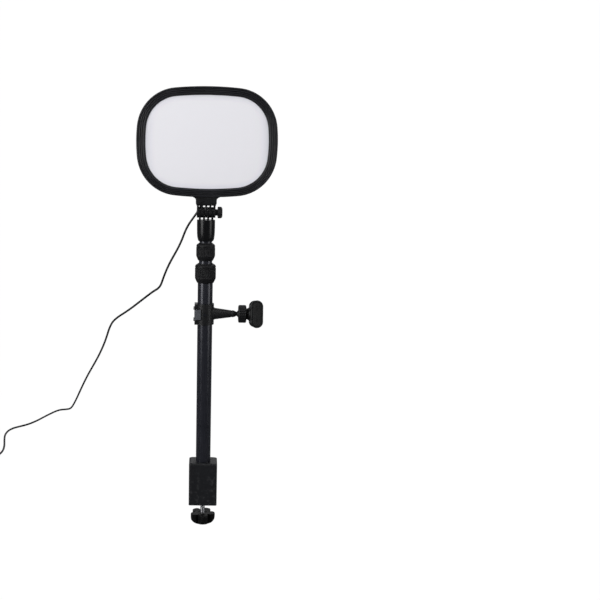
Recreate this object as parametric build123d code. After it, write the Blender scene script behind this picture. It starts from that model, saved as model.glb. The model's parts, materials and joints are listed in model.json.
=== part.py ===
"""Desk-clamp LED panel light on a telescopic pole, with a phone holder. Millimetres, +Z up.

The origin is on the clamp screw's axis, on the underside of the upper jaw's pad, so the desk's top is
the plane z = 0. The lamp looks along -Y, and the pole stands in front of the desk's edge.
"""
from build123d import *
from math import atan2, cos, hypot, pi, radians, sin, sqrt, tan
import os

# ---------------------------------------------------------------- driving dimensions
running_gap = 0.06          # radial clearance of a fit that turns or slides
free_gap = 0.4              # radial clearance where pieces only pass each other

# Desk clamp
block_width = 48.0
spine_depth = 36.0
block_top_z = 24.0
block_bottom_z = -50.6
jaw_reach = 38.0            # how far the jaws stand out behind the spine
upper_jaw_thickness = 8.0
lower_jaw_thickness = 9.0
jaw_pad_thickness = 2.5
desk_thickness = 22.0       # what the screw stands open to at rest
bush_radius = 6.0
screw_radius = 4.0
screw_tip_radius = 3.2
screw_tip_length = 2.8
foot_radius = 12.0
foot_cap_height = 5.0
foot_pad_thickness = 2.0
star_knob_reach = 22.4
star_knob_top_z = -85.0
star_knob_height = 19.0
star_knob_lobes = 5
star_lobe_radius = 6.9
star_notch = 2.6            # how far the core falls short of the lobes' centres
star_turn = 62.0            # degrees from +X to the first lobe
star_root_fillet = 2.4
star_rim_chamfer = 1.4
star_dome = [(0.49, 0), (0.80, 0.15), (0.955, 0.40), (1.0, 0.68)]    # shares of reach and height
screw_blind_depth = 5.0     # solid plastic under the screw's end
tube_socket_depth = 60.0
spine_rounding = 3.0
jaw_corner_rounding = 6.0
pad_corner_rounding = 4.0
fixing_bolt_radius = 2.5
fixing_head_radius = 5.2
fixing_head_height = 3.4
fixing_recess_radius = 6.0
fixing_recess_depth = 4.5
end_plug_length = 18.0

# Telescopic pole
outer_tube_radius = 12.5
mid_tube_radius = outer_tube_radius - 1.5
inner_tube_radius = mid_tube_radius - 1.5
tube_wall = 1.2
outer_tube_top_z = 346.0
mid_tube_top_z = 384.0
mid_tube_length = 330.0
inner_tube_top_z = 401.2
inner_tube_length = 306.0
slide_foot_lip = 5.0
slide_foot_spigot = 10.0
stud_radius = 3.175
stud_length = 12.0
stud_flange = 2.0
stud_flange_radius = inner_tube_radius + 1.2

# Twist collars
lower_collar_bottom_z = 333.5
lower_sleeve_radius = outer_tube_radius + 1.5
lower_collet_radius = lower_sleeve_radius - 0.6
lower_collet_z = 353.0
upper_sleeve_radius = mid_tube_radius + 1.4
upper_collet_radius = upper_sleeve_radius - 0.6
upper_collet_z = 389.0
lower_collar_height = 32.2
lower_collar_radius = lower_sleeve_radius + 3.35
upper_collar_bottom_z = 370.7
upper_collar_height = 29.1
upper_collar_radius = upper_sleeve_radius + 3.25
collar_waist = 1.2          # how far a collar's ends stand out from its sleeve
collar_shoulder = 5.0
collar_ribs = 30
collet_height = 7.0
collet_slit = 1.6

# Hinge and adapter
adapter_radius = 14.9
adapter_base_radius = 12.5
adapter_shoulder_z = 411.1
adapter_top_z = 438.2
tilt_z = 450.1
finger_thickness = 3.2
finger_pitch = 3.4
finger_count = 9
finger_radius = 8.8
hinge_bolt_radius = 2.5
hinge_hub_radius = 5.4
hinge_hub_length = 3.4
hinge_knob_radius = 9.65
hinge_knob_length = 8.5
hinge_knob_flutes = 6
hinge_nut_size = 4.6        # half the nut's width across corners
hinge_nut_thickness = 2.7
hinge_web_depth = 2.5
insert_wall = 1.8
neck_screw_radius = 1.5
neck_screw_head = 2.6
neck_screw_drop = 3.0       # how far the screws sit under the tongue's top
neck_bottom_z = 461.3
neck_width = 34.3
neck_depth = 14.0
neck_flare = 5.0
tongue_width = 24.0
tongue_depth = 8.0
tongue_height = 8.0

# Lamp head
head_z = 563.6
panel_half_width = 114.5
panel_half_height = 88.5
side_arc_radius = 250.0
top_arc_radius = 540.0
corner_radius = 68.0
opening_half_width = 99.7
opening_half_height = 74.8
opening_rounding = 14.3     # how much smaller the opening's radii are than the outline's
panel_front_y = -9.0        # from the pole's axis
bezel_face_thickness = 2.2
bezel_depth = 12.0
bezel_rounding = 1.4
bezel_groove_insets = (4.0, 7.0, 10.0)
bezel_groove_width = 0.9
bezel_groove_depth = 0.5
shell_wall = 2.0
cover_depth = 6.0
cover_rounding = 3.0
diffuser_lap = 4.0
diffuser_thickness = 2.0
guide_thickness = 3.0
reflector_thickness = 0.4
backing_thickness = 1.0
strip_length = 64.0
strip_chips = 11
post_radius = 2.9
post_x = 45.0
post_inset = 4.95
post_step = 1.0            # how far the bezel's posts reach into the cover
screw_hole_radius = 1.2
screw_length = 9.0
screw_head_radius = 2.5
screw_head_height = 1.6
screw_slot = 0.7
led_chip_height = 3.0
board_width = 62.0
board_height = 26.0
board_thickness = 1.2
board_z = 499.0
board_parts = [(-26, 503, 6, 8), (26, 503, 7, 7), (-23, 489, 5, 4), (0, 507, 12, 4)]    # x, z, width, height
board_part_rise = 2.2
switch_size = 6.0
switch_height = 1.5
button_radius = 4.0
button_spacing = 15.0
button_rise = 1.2
button_travel = 0.5
button_z = 499.0

# Phone holder
ring_bottom_z = 263.5
ring_height = 34.9
liner_wall = 0.9
ring_radius = outer_tube_radius + 2.5
ring_recess_width = 4.8
ring_recess_height = 8.6
ring_recess_depth = 0.8
ring_screw_radius = 2.2
arm_z = 281.2
arm_root_radius = 10.2
arm_tip_x = 51.0
arm_tip_radius = 4.7
arm_neck_radius = 3.4
ball_x = 60.0
ball_radius = 7.5
nut_start_x = 55.7
nut_end_x = 69.0
nut_radius = 14.9
nut_mouth_radius = 6.6
socket_radius = 11.0
flare_end_x = 75.0
clip_pitch = 10.0           # how far the phone clip is turned on its ball, in degrees
clip_plate_thickness = 6.0
clip_jaw_reach = 20.4
clip_jaw_height = 45.5
clip_jaw_thickness = 6.0
clip_gap = 58.0
clip_pad_thickness = 2.0
clip_box_wall = 1.6
clip_box_half = 15.0
clip_pad_half = 16.0
jaw_rounding = 1.2
nut_knurls = 24
tongue_half_height = 12.4
tongue_start_y = -3.5
spring_start_y = -25.5
spring_radius = 0.9
spring_z = 7.5
latch_plate_height = 16.8
latch_plate_width = 8.8
latch_plate_thickness = 1.8
latch_block_x = ring_radius + 2.4      # how far the block stands out from the pole's axis
latch_block_half = 9.5
latch_pin_x = -ring_radius - 0.6
latch_pin_y = 3.2 - ring_radius
latch_pin_radius = 1.0
latch_barrel_radius = 2.0
ear_reach = ring_radius + 4.2
ear_thickness = 1.4

# Cord
cord_diameter = 3.6
gland_length = 12.0
gland_collar_radius = 3.9
gland_neck_radius = 2.1
gland_neck_length = 5.0
outlet_half_width = 6.0
outlet_height = 16.0
cord_route = [
    (-6, -23.5, 472), (-8.5, -22.8, 458.5), (-18, -21.5, 444), (-32.5, -19, 423.5), (-42.5, -15, 394.5),
    (-62, -4, 359.5), (-72, 6, 334), (-77.5, 14, 316.5), (-91.5, 26, 306.5), (-112.5, 45, 287.5),
    (-136.5, 66, 266), (-164.5, 92, 244.5), (-175, 110, 226.5), (-185.5, 135, 195), (-200, 163, 162.5),
    (-215, 189, 134.5), (-231.5, 217, 104.5), (-249, 253, 68), (-262, 288, 40), (-270, 306, 24),
    (-276.5, 320, 12), (-283, 329.5, 4.5), (-292.5, 334, 1.9), (-303, 331, 1.9), (-310.5, 321, 1.9),
    (-319, 302, 1.9), (-329, 277, 1.9), (-339, 249, 1.9), (-352, 225, 1.9), (-366, 211, 1.9),
    (-377, 199, 1.9), (-383, 181, 1.9), (-383, 155, 1.9), (-377.5, 126, 1.9), (-370, 92, 1.9),
    (-366.5, 62, 1.9), (-370.5, 38, 1.9), (-377, 16, 1.9), (-378, -4, 1.9),
]
coil_mean_radius = 20.2
coil_width = 11.0
coil_height = 14.6
plug_nose_start = 34.0
plug_nose_length = 10.0
plug_length = 24.0
plug_width = 15.5
plug_height = 7.6
plug_shell_length = 18.75
plug_shell_width = 12.0
plug_shell_height = 4.5
plug_shell_wall = 0.3

# ---------------------------------------------------------------- worked out once
pole_y = -(jaw_reach + spine_depth) / 2
spine_back_y = pole_y + spine_depth / 2
socket_floor_z = block_top_z - tube_socket_depth
screw_tip_z = -desk_thickness - foot_pad_thickness - foot_cap_height
outer_bore = outer_tube_radius - tube_wall
mid_bore = mid_tube_radius - tube_wall
inner_bore = inner_tube_radius - tube_wall
hinge_half_width = (finger_count - 1) / 2 * finger_pitch + finger_thickness / 2
bezel_back_y = panel_front_y + bezel_depth
panel_back_y = bezel_back_y + cover_depth
diffuser_y = panel_front_y + bezel_face_thickness
guide_y = diffuser_y + diffuser_thickness
reflector_y = guide_y + guide_thickness
backing_y = reflector_y + reflector_thickness
board_y = backing_y + backing_thickness + 2.0
clip_plate_x = flare_end_x
arm_root_x = ring_radius
clip_front_y = -clip_gap / 2 - clip_jaw_thickness
ring_bore = outer_tube_radius + running_gap + liner_wall + running_gap


# ---------------------------------------------------------------- helpers
def ring(outer, inner, low, high):
    """A plain tube about Z."""
    height = high - low
    return Pos(0, 0, (low + high) / 2) * (Cylinder(outer, height) - Cylinder(inner, height))


def rod(radius, low, high):
    """A plain cylinder about Z."""
    return Pos(0, 0, (low + high) / 2) * Cylinder(radius, high - low)


def turned(profile):
    """A solid of revolution about Z from (radius, z) points."""
    return revolve(make_face(Plane.XZ * Polyline(*profile, close=True)), Axis.Z)


def on_pole(shape):
    return Pos(0, pole_y, 0) * shape


def slab(x, y, z):
    """A box from its lowest and highest values along each axis."""
    size = [high - low for low, high in (x, y, z)]
    middle = [(low + high) / 2 for low, high in (x, y, z)]
    return Pos(*middle) * Box(*size)


def along_x(shape, x=0.0, y=0.0, z=0.0):
    """Turns a shape built about Z so that its axis points along +X."""
    return Pos(x, y, z) * Rot(0, 90, 0) * shape


def along_y(shape, x=0.0, y=0.0, z=0.0):
    """Turns a shape built about Z so that its axis points along +Y."""
    return Pos(x, y, z) * Rot(-90, 0, 0) * shape


def bulged_outline(half_width, half_height, smaller=0.0):
    """A rectangle whose four sides bulge and whose corners are arcs tangent to them."""
    side, top, corner = side_arc_radius - smaller, top_arc_radius - smaller, corner_radius - smaller
    side_c, top_c = half_width - side, half_height - top
    near_side, near_top, apart = side - corner, top - corner, hypot(side_c, top_c)
    along = (near_side**2 - near_top**2 + apart**2) / (2 * apart)
    off = sqrt(near_side**2 - along**2)
    ux, uy = -side_c / apart, top_c / apart
    cx = side_c + along * ux - off * uy
    cy = along * uy + off * ux
    turn_side = atan2(cy, cx - side_c)
    turn_top = atan2(cy - top_c, cx)

    def at(x, y, r, turn):
        return (x + r * cos(turn), y + r * sin(turn))

    quarter = [
        at(side_c, 0, side, 0),
        at(side_c, 0, side, turn_side),
        at(cx, cy, corner, (turn_side + turn_top) / 2),
        at(0, top_c, top, turn_top),
        at(0, top_c, top, pi / 2),
    ]
    (x0, _), (x1, y1), (x2, y2), (x3, y3), (_, y4) = quarter
    arcs = [ThreePointArc((x1, -y1), (x0, 0), (x1, y1)), ThreePointArc((x3, y3), (0, y4), (-x3, y3)),
            ThreePointArc((-x1, y1), (-x0, 0), (-x1, -y1)), ThreePointArc((-x3, -y3), (0, -y4), (x3, -y3))]
    for sx, sy in ((1, 1), (-1, 1), (-1, -1), (1, -1)):
        arcs.append(ThreePointArc((sx * x1, sy * y1), (sx * x2, sy * y2), (sx * x3, sy * y3)))
    return make_face(arcs)


def panel_outline(inset=0.0):
    return bulged_outline(panel_half_width - inset, panel_half_height - inset, inset)


def opening_outline(outset=0.0):
    return bulged_outline(opening_half_width + outset, opening_half_height + outset, opening_rounding - outset)


def head_plate(face, front, thickness):
    """Extrudes an outline in the lamp's plane, from front to front + thickness behind the pole's axis."""
    back = Plane((0, pole_y + front + thickness, head_z), x_dir=(1, 0, 0), z_dir=(0, -1, 0))
    return extrude(back * face, amount=thickness)


def bezel_edge_z(x, inset):
    """Height above the lamp's centre of the top edge, inset inwards, at x."""
    return panel_half_height - top_arc_radius + sqrt((top_arc_radius - inset) ** 2 - x**2)


# ---------------------------------------------------------------- desk clamp
def clamp_frame():
    half = block_width / 2
    spine = slab((-half, half), (spine_back_y - spine_depth, spine_back_y), (block_bottom_z, block_top_z))
    front = spine.edges().filter_by(Axis.Z).group_by(Axis.Y)[0]
    top = spine.faces().sort_by(Axis.Z)[-1].edges()
    spine = fillet(front + top, spine_rounding)
    reach = (spine_back_y - 4, spine_back_y + jaw_reach)
    upper = slab((-half, half), reach, (jaw_pad_thickness, jaw_pad_thickness + upper_jaw_thickness))
    lower = slab((-half, half), reach, (block_bottom_z, block_bottom_z + lower_jaw_thickness))
    jaws = [fillet(jaw.edges().filter_by(Axis.Z).group_by(Axis.Y)[-1], jaw_corner_rounding)
            for jaw in (upper, lower)]
    frame = spine + jaws
    frame -= on_pole(rod(outer_tube_radius + running_gap, socket_floor_z, block_top_z + 1))
    frame -= on_pole(rod(fixing_bolt_radius + 2 * free_gap, block_bottom_z - 1, socket_floor_z + 1))
    frame -= on_pole(rod(fixing_recess_radius, block_bottom_z - 1, block_bottom_z + fixing_recess_depth))
    return frame - Pos(0, 0, block_bottom_z) * Cylinder(bush_radius, 3 * lower_jaw_thickness)


def jaw_pad():
    half_x, half_y = block_width / 2 - 4, jaw_reach / 2 - 2
    return fillet(slab((-half_x, half_x), (-half_y, half_y), (0, jaw_pad_thickness)).edges().filter_by(Axis.Z),
                  pad_corner_rounding)


def threaded_bush():
    return ring(bush_radius, screw_radius + running_gap, block_bottom_z, block_bottom_z + lower_jaw_thickness)


def pole_end_plug():
    return on_pole(ring(outer_bore, fixing_bolt_radius, socket_floor_z, socket_floor_z + end_plug_length))


def pole_fixing_bolt():
    head_low = block_bottom_z + 0.3
    head = rod(fixing_head_radius, head_low, head_low + fixing_head_height)
    core = rod(fixing_bolt_radius, head_low + fixing_head_height / 2, socket_floor_z + end_plug_length - 4)
    socket = Pos(0, 0, block_bottom_z) * extrude(RegularPolygon(2.6, 6), 2.0)
    return on_pole(head + core - socket)


def clamp_screw():
    low = star_knob_top_z - star_knob_height + screw_blind_depth
    thread = Pos(0, 0, (low + screw_tip_z - 0.1) / 2) * Cylinder(screw_radius, screw_tip_z - 0.1 - low)
    thread = chamfer(thread.edges().sort_by(Axis.Z)[-1], 0.6)
    tip = Pos(0, 0, screw_tip_z - 0.1) * Cylinder(
        screw_tip_radius, screw_tip_length, align=(Align.CENTER, Align.CENTER, Align.MIN))
    return thread + tip


def star_knob():
    """Five lobes round a core, under a dome, with a blind hole for the screw."""
    low = star_knob_top_z - star_knob_height
    lobe_centre = star_knob_reach - star_lobe_radius
    star = Circle(lobe_centre - star_notch) + [
        Rot(0, 0, star_turn + 360 / star_knob_lobes * i) * Pos(lobe_centre, 0) * Circle(star_lobe_radius)
        for i in range(star_knob_lobes)]
    star = fillet(star.vertices(), star_root_fillet)
    body = Pos(0, 0, low) * extrude(star, star_knob_height)
    rim = star_knob_reach + 0.1
    share = [(r * rim, low + h * star_knob_height) for r, h in star_dome]
    dome = turned([(0, low)] + share + [(rim, star_knob_top_z - star_rim_chamfer),
                                        (rim - star_rim_chamfer, star_knob_top_z), (0, star_knob_top_z)])
    hole = Pos(0, 0, low + screw_blind_depth) * Cylinder(
        screw_radius, 100, align=(Align.CENTER, Align.CENTER, Align.MIN))
    return (body & dome) - hole


def foot_cap():
    low = screw_tip_z
    cup = Pos(0, 0, low + foot_cap_height / 2) * Cylinder(foot_radius, foot_cap_height)
    cup = chamfer(cup.edges().group_by(Axis.Z)[0], 1.5)
    return cup - Pos(0, 0, low) * Cylinder(screw_tip_radius + running_gap, 2 * (screw_tip_length + 0.1))


def foot_pad():
    return Pos(0, 0, -desk_thickness - foot_pad_thickness / 2) * Cylinder(foot_radius, foot_pad_thickness)


# ---------------------------------------------------------------- pole
def outer_tube():
    return on_pole(ring(outer_tube_radius, outer_bore, socket_floor_z, outer_tube_top_z))


def mid_tube():
    return on_pole(ring(mid_tube_radius, mid_bore, mid_tube_top_z - mid_tube_length, mid_tube_top_z))


def inner_tube():
    return on_pole(ring(inner_tube_radius, inner_bore, inner_tube_top_z - inner_tube_length, inner_tube_top_z))


def slide_foot(tube_bottom_z, tube_bore, guide_bore, through):
    """A plug in a tube's lower end, whose lip runs in the next tube out."""
    lip = guide_bore - running_gap
    return on_pole(turned([
        (through, tube_bottom_z - slide_foot_lip), (lip, tube_bottom_z - slide_foot_lip), (lip, tube_bottom_z),
        (tube_bore, tube_bottom_z), (tube_bore, tube_bottom_z + slide_foot_spigot),
        (through, tube_bottom_z + slide_foot_spigot)]))


def lock_sleeve(tube_top_z, tube_radius, inner_radius, body_radius, bottom_z, top_z):
    """A threaded sleeve fixed round a tube's upper end, through which the next tube runs."""
    guide = inner_radius + running_gap
    return on_pole(turned([
        (tube_radius, bottom_z), (body_radius, bottom_z), (body_radius, top_z), (guide, top_z),
        (guide, tube_top_z), (tube_radius, tube_top_z)]))


def collet(inner_radius, bottom_z, outer_radius):
    """A split cone that the collar closes on the inner of two tubes."""
    guide = inner_radius + running_gap
    cone = turned([(guide, bottom_z), (outer_radius, bottom_z), (outer_radius, bottom_z + 2),
                   (guide + 1.1, bottom_z + collet_height), (guide, bottom_z + collet_height)])
    return on_pole(cone - slab((0, outer_radius + 1), (-collet_slit / 2, collet_slit / 2),
                               (bottom_z - 1, bottom_z + collet_height + 1)))


def collar(bottom_z, height, radius, tube_radius, sleeve_radius, collet_z, collet_radius):
    """A ribbed twist collar: round shoulders, bored for the lock sleeve and coned over the collet."""
    top_z = bottom_z + height
    bore = sleeve_radius + running_gap
    mouth = tube_radius + free_gap
    shoulder = collar_shoulder
    waist_radius = sleeve_radius + collar_waist
    outer = [(bore, bottom_z), (waist_radius, bottom_z), (radius - 1.4, bottom_z + shoulder - 1.6),
             (radius, bottom_z + shoulder), (radius, top_z - shoulder), (radius - 1.4, top_z - shoulder + 1.6),
             (waist_radius, top_z - 1.6), (waist_radius, top_z)]
    coned = collet_radius + free_gap
    nose = tube_radius + running_gap + 1.1 + free_gap
    inner = [(mouth, top_z), (mouth, collet_z + collet_height + 0.9), (nose, collet_z + collet_height + 0.3),
             (coned, collet_z + 2.2), (coned, collet_z), (bore, collet_z)]
    body = turned(outer + inner)
    ribs = [Rot(0, 0, 360 / collar_ribs * i) * Pos(radius + 0.35, 0, (bottom_z + top_z) / 2)
            * Cylinder(0.8, height - 2 * shoulder) for i in range(collar_ribs)]
    return on_pole(body - ribs)


def stud_plug():
    """Closes the inner tube's top and carries the stud that the adapter screws on."""
    top = inner_tube_top_z + stud_flange
    return on_pole(turned([
        (0, inner_tube_top_z - 14), (inner_bore, inner_tube_top_z - 14), (inner_bore, inner_tube_top_z),
        (stud_flange_radius, inner_tube_top_z), (stud_flange_radius, top), (stud_radius, top),
        (stud_radius, top + stud_length), (0, top + stud_length)]))


# ---------------------------------------------------------------- hinge
def finger(i, root_z):
    """One hinge plate: a disc about the tilt axis and a web to root_z."""
    x = (i - (finger_count - 1) / 2) * finger_pitch
    low, high = min(tilt_z, root_z), max(tilt_z, root_z)
    disc = along_x(Cylinder(finger_radius, finger_thickness), x, pole_y, tilt_z)
    web = slab((x - finger_thickness / 2, x + finger_thickness / 2),
               (pole_y - finger_radius, pole_y + finger_radius), (low, high))
    return disc + web


def hinge_bore(radius):
    return along_x(Cylinder(radius, 4 * hinge_half_width), 0, pole_y, tilt_z)


def adapter_insert():
    base = inner_tube_top_z + stud_flange
    bore = stud_radius + running_gap
    return on_pole(ring(bore + insert_wall, bore, base, base + stud_length + 1))


def hinge_adapter():
    base = inner_tube_top_z + stud_flange
    rise = adapter_shoulder_z - base
    edge = make_face([
        Line((0, base), (adapter_base_radius, base)),
        ThreePointArc((adapter_base_radius, base), (adapter_radius - 0.75, base + rise / 2),
                      (adapter_radius, adapter_shoulder_z)),
        Line((adapter_radius, adapter_shoulder_z), (adapter_radius, adapter_top_z - 0.8)),
        Line((adapter_radius, adapter_top_z - 0.8), (adapter_radius - 0.8, adapter_top_z)),
        Line((adapter_radius - 0.8, adapter_top_z), (0, adapter_top_z)),
        Line((0, adapter_top_z), (0, base))])
    body = on_pole(revolve(Plane.XZ * edge, Axis.Z))
    body += [finger(i, adapter_top_z - 1) for i in range(1, finger_count, 2)]
    insert_radius = stud_radius + running_gap + insert_wall
    hole = Pos(0, pole_y, base) * Cylinder(insert_radius, 2 * (stud_length + 1))
    return body - hole - hinge_bore(hinge_bolt_radius + running_gap)


def neck_bracket():
    """Five hinge plates, the neck that flares into the lamp's lower edge, and the tongue inside it."""
    half, flare = neck_width / 2, neck_flare
    edge_z = head_z - bezel_edge_z(0, 0)
    step = (half - hinge_half_width) * 1.6
    top = edge_z + 6
    profile = make_face(Polyline(
        (-half, neck_bottom_z + step), (-hinge_half_width, neck_bottom_z), (hinge_half_width, neck_bottom_z),
        (half, neck_bottom_z + step), (half, top), (-half, top), close=True))
    for side in (-1, 1):
        corner = Pos(side * (half + flare / 2), edge_z + 1 - flare / 2) * Rectangle(flare, flare + 6)
        profile += corner - Pos(side * (half + flare), edge_z - flare) * Circle(flare) - Pos(
            side * (half + flare / 2), edge_z - flare - 5) * Rectangle(flare, 10)
    plane = Plane((0, pole_y + neck_depth / 2, 0), x_dir=(1, 0, 0), z_dir=(0, -1, 0))
    neck = extrude(plane * profile, neck_depth) - head_plate(panel_outline(), -40, 80)
    tongue_low = edge_z - 2
    tongue = slab((-tongue_width / 2, tongue_width / 2), (pole_y - tongue_depth / 2, pole_y + tongue_depth / 2),
                  (tongue_low, edge_z + tongue_height))
    neck += tongue
    neck += [finger(i, neck_bottom_z + 1) for i in range(0, finger_count, 2)]
    neck -= hinge_bore(hinge_bolt_radius + running_gap)
    neck -= along_x(extrude(RegularPolygon(hinge_nut_size + 0.02, 6), 5.0),
                    -hinge_half_width - hinge_web_depth, pole_y, tilt_z)
    for x in (-tongue_width / 4, tongue_width / 4):
        neck -= along_y(Cylinder(neck_screw_radius, 20), x, pole_y, edge_z + tongue_height - neck_screw_drop)
    return neck


def hinge_lock_nut():
    nut = extrude(RegularPolygon(hinge_nut_size, 6), hinge_nut_thickness) - Cylinder(hinge_bolt_radius + running_gap, 20)
    return along_x(nut, -hinge_half_width - 0.2, pole_y, tilt_z)


def hinge_bolt():
    low, high = -hinge_half_width - 1.0, hinge_half_width + hinge_hub_length + 4
    return along_x(Cylinder(hinge_bolt_radius, high - low), (low + high) / 2, pole_y, tilt_z)


def hinge_knob():
    start = hinge_half_width + 0.1
    hub = hinge_hub_length
    end = hub + hinge_knob_length
    profile = [(0, 0), (hinge_hub_radius, 0), (hinge_hub_radius, hub), (hinge_knob_radius - 1, hub),
               (hinge_knob_radius, hub + 1), (hinge_knob_radius, end - 3.4), (hinge_knob_radius - 1.6, end - 1.6),
               (hinge_knob_radius - 4.4, end - 0.4), (0, end)]
    knob = turned(profile)
    knob -= [Rot(0, 0, 360 / hinge_knob_flutes * i) * Pos(hinge_knob_radius + 1.5, 0, hub + hinge_knob_length / 2)
             * Cylinder(2.6, hinge_knob_length + 0.4) for i in range(hinge_knob_flutes)]
    knob -= Cylinder(hinge_bolt_radius, 2 * (hub + 3.9))
    return along_x(knob, start, pole_y, tilt_z)


# ---------------------------------------------------------------- lamp head
def tongue_slot():
    edge_z = head_z - bezel_edge_z(0, 0)
    gap = running_gap
    return slab((-tongue_width / 2 - gap, tongue_width / 2 + gap),
                (pole_y - tongue_depth / 2 - gap, pole_y + tongue_depth / 2 + gap), (edge_z - 5, edge_z + 5))


def post_places():
    z = bezel_edge_z(post_x, post_inset)
    return [(sx * post_x, sy * z) for sx in (-1, 1) for sy in (-1, 1)]


def front_bezel():
    shell = head_plate(panel_outline(), panel_front_y, bezel_depth)
    shell = fillet(shell.faces().sort_by(Axis.Y)[0].edges(), bezel_rounding)
    shell -= head_plate(panel_outline(shell_wall), diffuser_y, bezel_depth)
    shell -= head_plate(opening_outline(), panel_front_y - 1, bezel_depth)
    for inset in bezel_groove_insets:
        groove = panel_outline(inset) - panel_outline(inset + bezel_groove_width)
        shell -= head_plate(groove, panel_front_y - 1, 1 + bezel_groove_depth)
    for x, z in post_places():
        length = bezel_back_y + post_step - diffuser_y
        end = pole_y + bezel_back_y + post_step
        shell += along_y(Cylinder(post_radius, length), x, end - length / 2, head_z + z)
        shell -= along_y(Cylinder(screw_hole_radius, 2 * (length - 2)), x, end, head_z + z)
    return shell - tongue_slot()


def light_stack(outset, front, thickness):
    return head_plate(opening_outline(outset), front, thickness)


def led_strips():
    x = opening_half_width + diffuser_lap - 0.8
    strips = []
    for side in (-1, 1):
        board = slab(sorted((side * (x + 1.2), side * (x + 2.2))),
                     (pole_y + guide_y - 0.6, pole_y + reflector_y + 0.6),
                     (head_z - strip_length / 2, head_z + strip_length / 2))
        pitch = strip_length / strip_chips
        for i in range(strip_chips):
            z = head_z + (i - (strip_chips - 1) / 2) * pitch
            board += slab(sorted((side * (x + 0.5), side * (x + 1.2))),
                          (pole_y + guide_y + 0.3, pole_y + reflector_y - 0.3), (z - led_chip_height / 2, z + led_chip_height / 2))
        strips.append(board)
    return Compound(children=strips)


def driver_board():
    board = slab((-board_width / 2, board_width / 2), (pole_y + board_y, pole_y + board_y + board_thickness),
                 (board_z - board_height / 2, board_z + board_height / 2))
    top = pole_y + board_y + board_thickness
    for i in (-1, 0, 1):
        x, half = i * button_spacing, switch_size / 2
        board += slab((x - half, x + half), (top, top + switch_height), (button_z - half, button_z + half))
    for x, z, w, h in board_parts:
        board += slab((x - w / 2, x + w / 2), (top, top + board_part_rise), (z - h / 2, z + h / 2))
    return board


def outlet_box():
    """The raised box on the cover's back that the cord leaves downwards."""
    x, y, z = cord_route[0]
    low = z + gland_length
    return slab((x - outlet_half_width, x + outlet_half_width), (pole_y + panel_back_y - 1, y + 5.5),
                (low, low + outlet_height))


def back_cover():
    shell = head_plate(panel_outline(), bezel_back_y, cover_depth)
    shell = fillet(shell.faces().sort_by(Axis.Y)[-1].edges(), cover_rounding)
    shell += outlet_box()
    shell -= head_plate(panel_outline(shell_wall), bezel_back_y - 1, cover_depth - shell_wall + 1)
    for x, z in post_places():
        y = pole_y + panel_back_y
        start = pole_y + bezel_back_y + post_step
        length = y - 1.0 - start
        shell += along_y(Cylinder(post_radius, length), x, start + length / 2, head_z + z)
        shell -= along_y(Cylinder(screw_hole_radius + 0.1, 20), x, y, head_z + z)
        shell -= along_y(Cylinder(screw_head_radius + 0.1, 2 * screw_head_height), x, y, head_z + z)
    for i in (-1, 0, 1):
        shell -= along_y(Cylinder(button_radius + running_gap, 20),
                         i * button_spacing, pole_y + panel_back_y, button_z)
    x, y, z = cord_route[0]
    shell -= Pos(x, y, z + gland_length) * Cylinder(gland_neck_radius + 0.1, 20)
    return shell - tongue_slot()


def cover_screws():
    screws = []
    for x, z in post_places():
        back = pole_y + panel_back_y - screw_head_height
        head = along_y(Cylinder(screw_head_radius, screw_head_height), x, back + screw_head_height / 2, head_z + z)
        head -= slab((x - 1.6, x + 1.6), (back + 1.0, back + 2),
                     (head_z + z - screw_slot / 2, head_z + z + screw_slot / 2))
        shank = along_y(Cylinder(screw_hole_radius, screw_length), x, back - screw_length / 2, head_z + z)
        screws.append(head + shank)
    return Compound(children=screws)


def neck_screws():
    edge_z = head_z - bezel_edge_z(0, 0)
    screws = []
    for x in (-tongue_width / 4, tongue_width / 4):
        z = edge_z + tongue_height - neck_screw_drop
        y = pole_y + tongue_depth / 2
        screws.append(along_y(Cylinder(neck_screw_head, 1.6), x, y + 0.8, z)
                      + along_y(Cylinder(neck_screw_radius, 7.0), x, y - 3.5, z))
    return Compound(children=screws)


def push_button(i):
    inner = pole_y + panel_back_y - shell_wall
    cap = along_y(Cylinder(button_radius, shell_wall + button_rise), i * button_spacing,
                  inner + (shell_wall + button_rise) / 2, button_z)
    cap = fillet(cap.edges().sort_by(Axis.Y)[-1], 0.6)
    lip_y = inner - 0.9
    lip = along_y(Cylinder(button_radius + 1, 0.8), i * button_spacing, lip_y + 0.4, button_z)
    web = along_y(Cylinder(button_radius, 0.4), i * button_spacing, inner - 0.1, button_z)
    stem_end = pole_y + board_y + board_thickness + switch_height + button_travel + 0.05
    stem = along_y(Cylinder(1.5, inner - stem_end), i * button_spacing, (inner + stem_end) / 2, button_z)
    return cap + lip + web + stem


def cable_gland():
    x, y, z = cord_route[0]
    radius = cord_diameter / 2
    boot = turned([(0, 0), (radius + 0.5, 0), (3.4, gland_length - 3), (gland_collar_radius, gland_length - 3),
                   (gland_collar_radius, gland_length), (gland_neck_radius, gland_length),
                   (gland_neck_radius, gland_length + gland_neck_length), (0, gland_length + gland_neck_length)])
    rings = [ring(6, radius + 1.1 + 0.25 * i, 2.2 + 2.4 * i, 2.9 + 2.4 * i) for i in range(3)]
    return Pos(x, y, z) * (boot - rings)


# ---------------------------------------------------------------- cord
def corner_radii(points):
    """Each arc takes 0.45 of the shorter run beside it."""
    radii = []
    for a, b, c in zip(points, points[1:], points[2:]):
        before, after = Vector(*b) - Vector(*a), Vector(*c) - Vector(*b)
        half_turn = radians(before.get_angle(after)) / 2
        radii.append(0.45 * min(before.length, after.length) / tan(half_turn))
    return radii


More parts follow.
